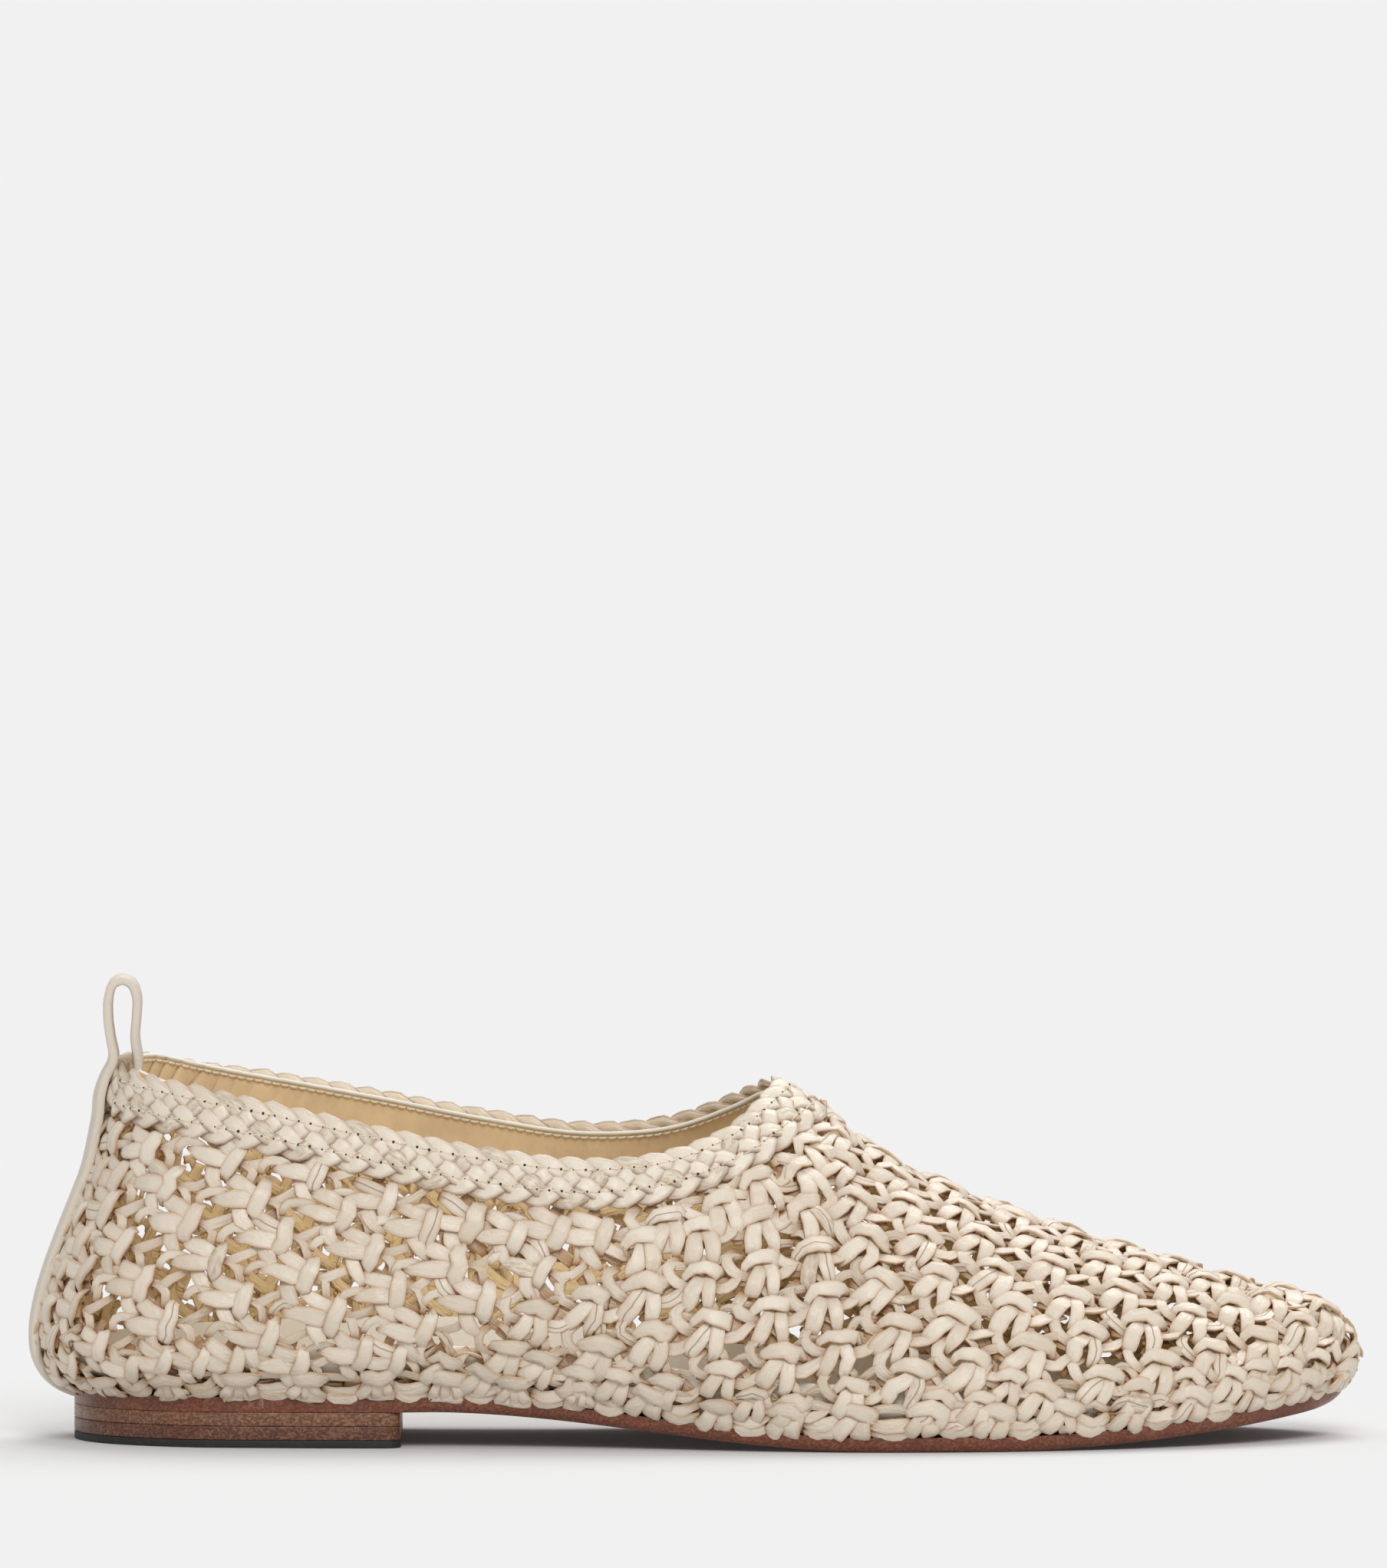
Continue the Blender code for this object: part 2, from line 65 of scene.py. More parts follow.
# The shoe's tables in millimetres. They are those of its CAD source, apart from the pull loop and the
# topline on the inner side of the heel, which stand a little higher here.
SOLE_THICKNESS = 2.8
INSOLE_THICKNESS = 2.0
WALL = 2.0
STRIP_THICKNESS = 1.7
STRIP_WIDTH = 11.0
COLLAR_THICKNESS = 2.0
LINING_ROOM = 0.7
GAP = 0.3
COLLAR_SEAM = 0.4
TOP_PIECE_THICKNESS = 1.2
LIFT_THICKNESS = 2.3
HEEL_HEIGHT = TOP_PIECE_THICKNESS + 2 * LIFT_THICKNESS + 3 * GAP
HEEL_BREAST_X = 70.0
HEEL_CORNER = 3.0
WAIST_START_X = 75.0
FLAT_START_X = 158.0
FLAT_END_X = 181.0
TOE_SPRING = 6.4
SPRING_POWER = 1.8

SoleStation = namedtuple("SoleStation", "x lateral medial")
SOLE_HEEL_X = 8.8
SOLE_TOE = (246.0, 7.0)
SOLE_STATIONS = tuple(SoleStation(*row) for row in (
    (13.0, 13.5, 13.0),
    (27.0, 24.0, 23.0),
    (50.0, 27.5, 26.0),
    (80.0, 28.5, 25.0),
    (108.0, 31.5, 24.0),
    (135.0, 37.0, 29.0),
    (162.0, 39.5, 36.5),
    (188.0, 36.5, 38.0),
    (212.0, 28.5, 34.5),
    (231.0, 16.5, 26.5),
    (242.0, 4.0, 17.0),
))

CollarStation = namedtuple("CollarStation", "x lateral medial top rise lean drop")
COLLAR_HEEL = CollarStation(x=16.6, lateral=0.0, medial=0.0, top=70.0, rise=0.6, lean=1.6, drop=9.0)
COLLAR_STATIONS = tuple(CollarStation(*row) for row in (
    (20.5, 10.5, 10.5, 69.0, 2.2, 1.8, 9.0),
    (30.5, 18.5, 18.5, 67.0, 2.1, 2.1, 8.9),
    (46.0, 23.5, 23.0, 63.9, 2.8, 2.3, 8.8),
    (66.0, 25.5, 25.0, 59.5, 3.6, 2.3, 8.7),
    (86.0, 26.0, 25.5, 55.6, 3.8, 2.6, 8.6),
    (105.0, 25.0, 25.0, 53.5, 3.6, 3.4, 8.4),
    (120.0, 21.0, 22.5, 54.7, 3.8, 5.0, 7.8),
    (131.5, 14.0, 16.5, 59.3, 3.6, 7.4, 6.9),
    (137.5, 6.0, 9.0, 64.6, 1.6, 9.2, 6.2),
))
COLLAR_THROAT = CollarStation(x=139.5, lateral=-1.5, medial=1.5, top=66.8, rise=0.0, lean=10.0, drop=6.2)
COLLAR_CROWN = 0.8

RidgePoint = namedtuple("RidgePoint", "x height")
RIDGE = tuple(RidgePoint(*row) for row in (
    (158.0, 54.2), (172.0, 47.0), (193.0, 39.1), (214.0, 32.7), (235.0, 26.8),
))
RIDGE_TOE_Y = 7.0
RIDGE_EASE = 1.25
THROAT_SHARE = 0.615

WallStation = namedtuple("WallStation", "share flare lift shoulder drop")
WALL_STATIONS = tuple(WallStation(*row) for row in (
    (0.00, 17.8, 4.0, 1.0, 16.0),
    (0.06, 15.5, 5.5, 2.0, 16.0),
    (0.16, 11.5, 9.5, 4.0, 14.0),
    (0.30, 9.0, 12.5, 7.0, 12.0),
    (0.43, 8.0, 13.5, 11.0, 10.0),
    (0.54, 7.0, 13.0, 19.0, 5.0),
    (0.64, 6.5, 12.5, 24.0, 0.0),
    (0.76, 6.0, 11.5, 21.0, 0.0),
    (0.88, 6.5, 9.0, 15.0, 0.0),
    (1.00, 8.0, 6.0, 10.0, 0.0),
))

LoopPoint = namedtuple("LoopPoint", "x height")
LOOP = tuple(LoopPoint(*row) for row in (
    (15.3, 75.2), (14.8, 79.6), (15.0, 83.1), (15.9, 85.4), (17.5, 86.1), (19.2, 85.4), (20.2, 83.1),
    (20.2, 79.6), (19.9, 75.2),
))
LOOP_TAIL_DEPTH = 8.0
STRIP_KNOTS = 20
WALL_SAMPLES = 25
CURVE_STEPS = 24

LATERAL, MEDIAL = -1, 1
SIDES = (LATERAL, MEDIAL)
Half = namedtuple("Half", "points tangents normals")

# Strands of one stitch, in millimetres from its crossing bar: path points are across, up and out of the wall,
# and each has the strand's width there. Roll turns the strand's face about its own run, in degrees.
Strand = namedtuple("Strand", "name widths path roll", defaults=(0,))

# The vamp's stitch: the bar lies across, and the two legs fan out below it
VAMP_STITCH = (
    Strand("behind", widths=(2.2, 3.0, 3.0, 2.2), path=(
        (-6.0, -0.8, -1.3), (-2.5, -2.2, -1.1), (2.0, -2.0, -1.1), (6.5, -3.6, -1.3),
    )),
    Strand("under", widths=(2.0, 2.7, 2.7, 2.0), path=(
        (-1.6, 4.0, -1.35), (0.8, 1.4, -1.2), (4.0, -1.2, -1.2), (6.6, -5.4, -1.35),
    )),
    Strand("arch", roll=35, widths=(1.3, 1.7, 1.8, 1.6, 1.2), path=(
        (1.8, 0.5, -0.5), (3.2, 1.5, -0.3), (5.1, 2.0, -0.2), (7.1, 1.9, -0.3), (8.7, 1.3, -0.9),
    )),
    Strand("smile", roll=-20, widths=(2.0, 2.6, 2.5, 1.9, 1.2), path=(
        (1.3, -3.1, -0.6), (3.0, -3.9, -0.1), (5.0, -3.7, 0.0), (7.0, -2.6, -0.2), (8.5, -1.4, -0.7),
    )),
    Strand("tail", roll=20, widths=(1.6, 1.9, 1.9, 1.6), path=(
        (0.6, 0.9, -0.7), (0.9, 2.3, -0.25), (0.3, 3.9, -0.25), (-0.9, 5.4, -0.7),
    )),
    Strand("turn", roll=20, widths=(1.9, 2.3, 2.4, 2.3, 2.0, 1.6), path=(
        (-3.0, 4.6, -0.7), (-5.0, 3.5, -0.1), (-5.9, 1.8, 0.2), (-5.3, 0.1, 0.1), (-3.9, -1.3, -0.4),
        (-2.5, -2.1, -0.9),
    )),
    Strand("left leg", widths=(2.3, 2.9, 3.4, 3.3, 2.4), path=(
        (0.3, -0.5, -0.2), (-1.1, -1.8, 0.45), (-2.8, -3.4, 0.75), (-4.3, -4.8, 0.35),
        (-5.3, -5.8, -0.7),
    )),
    Strand("right leg", widths=(2.3, 2.8, 3.1, 2.5, 1.2), path=(
        (1.2, -0.6, -0.25), (1.2, -2.2, 0.4), (0.5, -4.5, 0.7), (-0.6, -6.5, 0.3), (-1.5, -8.0, -0.8),
    )),
    Strand("bar", widths=(1.0, 1.7, 2.7, 3.2, 3.4, 3.4, 3.2), path=(
        (-4.0, -0.6, -0.8), (-3.2, 0.2, 0.2), (-1.3, 0.8, 0.95), (0.8, 0.45, 1.05), (2.5, -0.5, 0.75),
        (3.3, -1.1, 0.2), (3.5, -1.4, -0.9),
    )),
)

# The quarter's stitch: the same one lying on its side, with its bar upright and its legs towards the heel
QUARTER_STITCH = (
    Strand("behind", widths=(2.0, 2.4, 2.4, 2.0), path=(
        (-0.8, 5.8, -1.3), (-2.4, 2.0, -1.1), (-1.6, -1.8, -1.1), (3.0, -5.6, -1.3),
    )),
    Strand("arch", roll=-25, widths=(1.4, 1.8, 1.8, 1.6, 1.2), path=(
        (0.8, 0.2, -0.8), (2.6, -0.4, -0.3), (3.7, -2.0, -0.2), (3.9, -3.8, -0.5), (3.5, -5.2, -1.0),
    )),
    Strand("smile", roll=20, widths=(1.6, 2.0, 1.9, 1.5, 1.1), path=(
        (1.0, -0.6, -0.7), (2.9, -0.3, -0.15), (5.3, 0.6, -0.1), (7.5, 2.0, -0.5), (8.7, 2.9, -0.9),
    )),
    Strand("turn", roll=-20, widths=(1.1, 1.6, 1.8, 1.7, 1.3), path=(
        (-5.4, 1.0, -0.6), (-7.2, 1.7, 0.05), (-9.3, 1.9, 0.25), (-11.0, 1.1, 0.2), (-12.1, -0.5, -0.6),
    )),
    Strand("tail", widths=(2.0, 2.8, 2.9, 2.1, 0.8), path=(
        (-4.4, -0.7, -0.6), (-3.9, -2.1, 0.1), (-3.1, -3.9, 0.35), (-2.1, -5.4, 0.05),
        (-1.1, -6.5, -0.7),
    )),
    Strand("upper leg", widths=(2.2, 2.8, 3.2, 2.9, 1.8), path=(
        (0.5, 0.7, -0.3), (-1.1, 1.5, 0.3), (-3.0, 2.5, 0.65), (-5.0, 3.6, 0.2), (-6.4, 4.4, -0.8),
    )),
    Strand("lower leg", widths=(2.2, 2.9, 3.5, 3.1, 1.9, 0.6), path=(
        (0.6, -0.5, -0.3), (-1.4, -0.5, 0.25), (-3.7, -0.35, 0.8), (-6.1, 0.0, 0.6), (-8.2, 0.4, 0.0),
        (-9.6, 0.7, -0.8),
    )),
    Strand("bar", widths=(1.8, 2.5, 3.1, 3.3, 3.2, 2.7, 2.0), path=(
        (1.0, 3.7, -0.9), (0.95, 2.9, 0.3), (0.55, 1.4, 1.0), (-0.1, -0.3, 1.05), (-0.75, -2.0, 0.8),
        (-1.25, -3.1, 0.1), (-1.5, -3.7, -0.9),
    )),
)

# The row along the sole: a bar over a pleated skirt, and the loops that join it to the next one
EDGE_LOOPS = (
    Strand("behind", widths=(2.6, 3.0, 3.0, 2.6), path=(
        (-6.0, -2.6, -1.2), (-2.0, -3.4, -1.1), (2.0, -3.4, -1.1), (6.5, -2.6, -1.2),
    )),
    Strand("link", roll=25, widths=(1.4, 1.9, 2.0, 1.9, 1.4), path=(
        (2.2, 0.1, -0.6), (4.0, 0.6, -0.1), (6.0, 0.6, 0.0), (8.2, 0.0, -0.1), (10.4, -0.6, -0.7),
    )),
    Strand("loop", roll=-15, widths=(1.6, 2.3, 2.6, 2.3, 1.5), path=(
        (2.4, -2.2, -0.5), (4.4, -2.9, 0.0), (6.4, -2.9, 0.2), (8.4, -2.4, 0.0), (10.0, -1.6, -0.6),
    )),
    Strand("lobe", widths=(1.6, 2.4, 2.7, 2.4, 1.6), path=(
        (2.6, -3.6, -0.3), (4.2, -4.6, 0.3), (6.2, -4.95, 0.5), (8.2, -4.6, 0.3), (9.8, -3.6, -0.3),
    )),
)
SKIRT_STITCH = (
    *EDGE_LOOPS,
    Strand("skirt", widths=(4.2, 5.2, 6.6, 7.2, 6.6, 4.6), path=(
        (0.0, -0.6, 0.1), (0.0, -2.0, 0.35), (0.0, -3.5, 0.5), (0.0, -4.6, 0.5), (0.0, -5.3, 0.3),
        (0.0, -5.6, 0.0),
    )),
    Strand("left fold", roll=12, widths=(1.4, 1.9, 2.2, 1.7), path=(
        (-1.1, -0.7, 0.2), (-1.9, -2.0, 0.75), (-2.7, -3.3, 0.85), (-3.2, -4.5, 0.3),
    )),
    Strand("middle fold", roll=-10, widths=(1.4, 1.8, 2.1, 1.7), path=(
        (-0.1, -0.7, 0.2), (-0.1, -2.1, 0.8), (-0.2, -3.6, 0.9), (-0.3, -4.9, 0.3),
    )),
    Strand("right fold", roll=-12, widths=(1.4, 1.8, 2.1, 1.6), path=(
        (1.1, -0.7, 0.2), (1.7, -2.0, 0.75), (2.2, -3.4, 0.85), (2.6, -4.6, 0.3),
    )),
    Strand("bar", widths=(2.2, 2.6, 2.9, 3.0, 2.9, 2.7, 2.2), path=(
        (-3.3, -0.5, -0.8), (-2.8, -0.1, 0.4), (-1.2, 0.4, 1.0), (0.6, 0.45, 1.05), (2.2, 0.1, 0.8),
        (3.0, -0.4, 0.3), (3.3, -0.7, -0.8),
    )),
)
FOOT_STITCH = (
    *EDGE_LOOPS,
    Strand("left leg", widths=(2.3, 2.9, 3.3, 3.2, 2.6), path=(
        (0.2, -0.5, -0.2), (-1.2, -1.8, 0.5), (-2.5, -3.2, 0.75), (-3.4, -4.4, 0.5), (-4.0, -5.3, -0.3),
    )),
    Strand("right leg", widths=(2.3, 2.9, 3.4, 3.3, 2.4), path=(
        (1.2, -0.6, -0.25), (1.2, -2.0, 0.45), (0.9, -3.4, 0.75), (0.6, -4.6, 0.5), (0.5, -5.5, -0.3),
    )),
    Strand("bar", widths=(1.0, 1.7, 2.7, 3.2, 3.4, 3.3, 3.0), path=(
        (-3.7, -0.8, -0.8), (-3.0, 0.0, 0.2), (-1.2, 0.6, 0.95), (0.8, 0.4, 1.05), (2.4, -0.4, 0.75),
        (3.2, -1.0, 0.2), (3.4, -1.3, -0.9),
    )),
)

# How the stitches follow each other: along the topline and down from it on the quarter, along the sole's edge
# and over the ridge on the vamp
CHART_STEPS = np.arange(-60, 61)
QUARTER_STEPS = ((5.4, 6.2), (-10.7, 7.0))
QUARTER_START = (18.5, 3.2)
QUARTER_SHARES = (0.004, 0.7)
VAMP_STEPS = ((11.4, 7.4), (1.0, -8.7))
VAMP_START = (180.0, -20.0)
VAMP_SHARES = (0.2, 0.995)
VAMP_LEAN = (3.0, 12.0)
RIDGE_FALL = 0.33
STITCH_CLEARANCE = 6.4
LOWEST_STITCH = 5.8
HIGHEST_STITCH = 1.5

# The line where the quarter's stitches meet the vamp's, in side view
PanelLine = namedtuple("PanelLine", "x height slope")
PANEL_LINE = PanelLine(x=67.0, height=11.0, slope=1.58)
PANEL_LAP = 4.0

# The row along the sole, and how far strands run in under the plait and down over the sole's edge
EDGE_PITCH = 12.6
EDGE_HEIGHT = 4.5
EDGE_UNEVEN_HEIGHT = 0.06
EDGE_UNEVEN_TURN = 0.06
EDGE_UNEVEN_SIZE = 0.05
FOOT_START = 0.42
UNDER_COLLAR = 0.2
COLLAR_TUCK = 4.0
COLLAR_SINK = 0.8
SOLE_OVERLAP = 1.2

# Stitches that fill what the charts leave open: where they are tried, and how clear they keep of the others
FILL_COLUMNS, FILL_ROWS = 180, 30
FILL_SHARES = (0.004, 0.996)
FILL_HEIGHTS = (0.1, 1.0)
FILL_LOWEST = LOWEST_STITCH + 1
FILL_HIGHEST = 2.2
FILL_CLEARANCE = 8.8
SEAM_CLEARANCE = 7.2
SEAM_REACH = 5.0
THROAT_REACH = 0.75 * THROAT_SHARE
THROAT_CLEARANCE = 5.8
HEEL_CLEARANCE = 6.0
HEEL_REACH = 0.06
LOW_REACH = 12.0
LOW_CLEARANCE = 6.4
LOW_SIZE = 0.85
TOE_REACH = 0.85
TOE_CLEARANCE = 7.4

# The toe's stuffing: how far it pushes the weave out, from where on and round which height
TOE_BULGE = 1.6
TOE_BULGE_START, TOE_BULGE_RUN = 230.0, 10.0
TOE_BULGE_HEIGHT, TOE_BULGE_REACH = 23.0, 10.0

# Hand work: scatter of a strand's height in millimetres, of its turn in radians, of its width and size as
# shares, and of its roll in degrees
UNEVEN_HEIGHT = 0.07
UNEVEN_TURN = 0.07
UNEVEN_WIDTH = 0.06
UNEVEN_SIZE = 0.04
UNEVEN_ROLL = 7

# A strand's rings, its thickness by its width, its roll by height on the vamp, and its painted shade at the
# ends and where it lies deep
STRAND_RINGS = 9
RING_EVENNESS = 0.45
FULL_WIDTH = 2.8
THICKNESS_RANGE = (0.75, 1.1)
VAMP_ROLL = ((0.45, 1.0), (0.75, 0.25))
END_POWER, END_SHADE = 3, 0.55
SUNK_LEVEL, SUNK_DEPTH, SUNK_SHADE = 0.35, 1.1, 0.6
WEAVE_CREASES = 1.8

# Section of a strand: shares of half its width and of half its thickness
STRAND_SECTION = np.array([
    (1.0, 0.0), (0.94, 0.68), (0.5, 1.0), (-0.5, 1.0),
    (-0.94, 0.68), (-1.0, 0.0), (-0.78, -0.85), (0.78, -0.85),
])
BACK_LEVEL = -0.4
CRISP_POINTS = (1, 4)
ROUND_SECTION = np.array([(math.cos(a), math.sin(a)) for a in np.arange(6) * math.tau / 6])

WALL_COLUMNS, WALL_ROWS = 260, 70
SMOOTH_ANGLE = math.radians(50)

# A strand's tile in its map: margins round the tile and along the strand, and the two caps
TILE_MARGIN = 0.04
RUN_MARGIN = 0.03
CAP_RADIUS = 0.012
CAP_PLACES = ((0.5, 0.015), (0.5, 0.985))


# Curves through the tables

def hermite(t, span, values, slopes, i):
    """The cubic from value i to value i + 1 that has their slopes, at a share t of the span between them."""
    return (
        (2 * t**3 - 3 * t**2 + 1) * values[i]
        + (t**3 - 2 * t**2 + t) * span * slopes[i]
        + (3 * t**2 - 2 * t**3) * values[i + 1]
        + (t**3 - t**2) * span * slopes[i + 1]
    )


def smooth_steps(knots, closed):
    """Points of a cubic that passes through the knots, with the knots' own spacing as its parameter."""
    knots = np.asarray(knots, float)
    if closed:
        padded = np.vstack([knots[-1:], knots, knots[:2]])
    else:
        first, last = 2 * knots[0] - knots[1], 2 * knots[-1] - knots[-2]
        padded = np.vstack([first, knots, last])
    chord = np.linalg.norm(np.diff(padded, axis=0), axis=1)[:, None]
    slope = np.diff(padded, axis=0) / chord
    tangent = (slope[:-1] * chord[1:] + slope[1:] * chord[:-1]) / (chord[:-1] + chord[1:])
    t = np.linspace(0, 1, CURVE_STEPS, endpoint=False)[:, None]
    passed = padded[1:-1]
    spans = [hermite(t, chord[i + 1], passed, tangent, i) for i in range(len(passed) - 1)]
    return np.vstack([*spans, passed[-1:]])


def run_length(points):
    """How far along the polyline each of its points lies."""
    return np.concatenate([[0], np.cumsum(np.linalg.norm(np.diff(points[:, :3], axis=0), axis=1))])


def along(points, share, values=None):
    """Points at these shares of the polyline's length, or the values that are kept at its points."""
    length = run_length(points)
    at = np.asarray(share) * length[-1]
    values = points if values is None else values
    return np.stack([np.interp(at, length, column) for column in values.T], axis=-1)


def unit(vectors):
    return vectors / np.linalg.norm(vectors, axis=-1, keepdims=True)


def table_value(rows, column, by, at):
    """A column of a table, read smoothly between its rows."""
    stations = np.array([getattr(row, by) for row in rows])
    values = np.array([getattr(row, column) for row in rows])
    slopes = np.gradient(values, stations)
    i = np.clip(np.searchsorted(stations, at) - 1, 0, len(stations) - 2)
    return hermite((at - stations[i]) / np.diff(stations)[i], np.diff(stations)[i], values, slopes, i)


def halves(heel, lateral, toe, medial):
    """The two sides of a closed curve from heel to toe: points, tangents and plan normals that face out."""
    loop = smooth_steps([heel, *lateral, toe, *reversed(medial)], closed=True)
    ring = loop[:-1]
    tangents = np.roll(ring, -1, axis=0) - np.roll(ring, 1, axis=0)
    tangents = unit(np.vstack([tangents, tangents[:1]])[:, :3])
    normals = unit(np.column_stack([tangents[:, 1], -tangents[:, 0]]))
    turn = (len(lateral) + 1) * CURVE_STEPS
    return {
        LATERAL: Half(*(row[: turn + 1] for row in (loop, tangents, normals))),
        MEDIAL: Half(*(row[: turn - 1 : -1] for row in (loop, tangents, normals))),
    }


SOLE_PLAN = halves(
    heel=(SOLE_HEEL_X, 0.0),
    lateral=[(s.x, -s.lateral) for s in SOLE_STATIONS],
    toe=SOLE_TOE,
    medial=[(s.x, s.medial) for s in SOLE_STATIONS],
)


def collar_knot(station, side):
    half = station.lateral if side == LATERAL else station.medial
    top = station.top if side == LATERAL else station.top + station.rise
    return station.x, side * half, top, station.lean, station.drop


COLLAR_CURVE = halves(
    heel=collar_knot(COLLAR_HEEL, MEDIAL),
    lateral=[collar_knot(s, LATERAL) for s in COLLAR_STATIONS],
    toe=collar_knot(COLLAR_THROAT, MEDIAL),
    medial=[collar_knot(s, MEDIAL) for s in COLLAR_STATIONS],
)
SOLE_LENGTH = {side: run_length(SOLE_PLAN[side].points)[-1] for side in SIDES}
COLLAR_LENGTH = {side: run_length(COLLAR_CURVE[side].points)[-1] for side in SIDES}
COLLAR_ROUND = COLLAR_LENGTH[LATERAL] + COLLAR_LENGTH[MEDIAL]


def sole_bottom(x):
    """Height of the sole's underside: level at the heel, flat at the ball and up at the toe."""
    waist = np.clip((x - WAIST_START_X) / (FLAT_START_X - WAIST_START_X), 0, 1)
    spring = np.clip((x - FLAT_END_X) / (SOLE_TOE[0] - FLAT_END_X), 0, None)
    return HEEL_HEIGHT * (1 - waist**2 * (3 - 2 * waist)) + TOE_SPRING * spring**SPRING_POWER


def sole_edge(side, share, inset=0.0):
    """Plan points of the sole's edge, moved inwards by the inset, and the outward normals there."""
    half = SOLE_PLAN[side]
    normals = unit(along(half.points, share, half.normals))
    return along(half.points, share) - inset * normals, normals


def collar_edges(side, share):
    """Topline, the way down the plait, and the plait's outward normal, at shares of the way to the throat."""
    half = COLLAR_CURVE[side]
    rows = along(half.points, share)
    outward = unit(along(half.points, share, half.normals))
    tangent = along(half.points, share, half.tangents)
    down = np.column_stack([outward * rows[:, 3:4], -rows[:, 4]])
    return rows[:, :3], down, unit(np.cross(down, tangent))


def ridge_curve():
    """The vamp's ridge from the plait's lower edge at the throat to the toe."""
    top, down, _ = collar_edges(LATERAL, np.array([1.0]))
    throat = top[0] + down[0] * (1 + COLLAR_SEAM / np.linalg.norm(down[0]))
    knots = [tuple(throat)]
    reach = RIDGE[-1].x - throat[0]
    for point in RIDGE:
        part = (point.x - throat[0]) / reach
        knots.append((point.x, throat[1] + part * (RIDGE_TOE_Y - throat[1]), point.height))
    return smooth_steps(knots, closed=False)


RIDGE_CURVE = ridge_curve()


def wall_tops(side, share):
    """Where each wall column ends, on the plait's lower edge or on the ridge, and the normal there."""
    behind = share <= THROAT_SHARE
    tops, normals = np.zeros((len(share), 3)), np.zeros((len(share), 3))
    top, down, normal = collar_edges(side, share[behind] / THROAT_SHARE)
    seam = 1 + COLLAR_SEAM / np.linalg.norm(down, axis=1, keepdims=True)
    tops[behind], normals[behind] = top + down * seam, normal
    forward = (share[~behind] - THROAT_SHARE) / (1 - THROAT_SHARE)
    eased = 1 - (1 - forward) ** RIDGE_EASE
    tops[~behind] = along(RIDGE_CURVE, eased)
    slope = along(RIDGE_CURVE, eased, np.gradient(RIDGE_CURVE, axis=0))
    normals[~behind] = unit(np.column_stack([-slope[:, 2], np.zeros(len(slope)), slope[:, 0]]))
    return tops, normals


def wall_columns(side, share, heights):
    """Points of the upper's outer surface: a column for each share, a row for each height from 0 to 1."""
    share = np.asarray(share, float)
    edge, outward = sole_edge(side, share)
    base = np.column_stack([edge, sole_bottom(edge[:, 0]) + SOLE_THICKNESS + GAP])
    tops, normals = wall_tops(side, share)
    read = {
        column: table_value(WALL_STATIONS, column, "share", share)[:, None]
        for column in ("flare", "lift", "shoulder", "drop")
    }
    up = np.array([0.0, 0.0, 1.0])
    out = np.column_stack([outward, np.zeros(len(share))])
    lower = base + out * read["flare"] + up * read["lift"]
    away = out * read["shoulder"] - up * read["drop"]
    away -= normals * np.sum(away * normals, axis=1, keepdims=True)
    upper = tops + away
    t = np.linspace(0, 1, WALL_SAMPLES)[:, None, None]
    curves = (1 - t) ** 3 * base + 3 * (1 - t) ** 2 * t * lower + 3 * (1 - t) * t**2 * upper + t**3 * tops
    return np.stack([along(curves[:, i], heights) for i in range(len(share))])


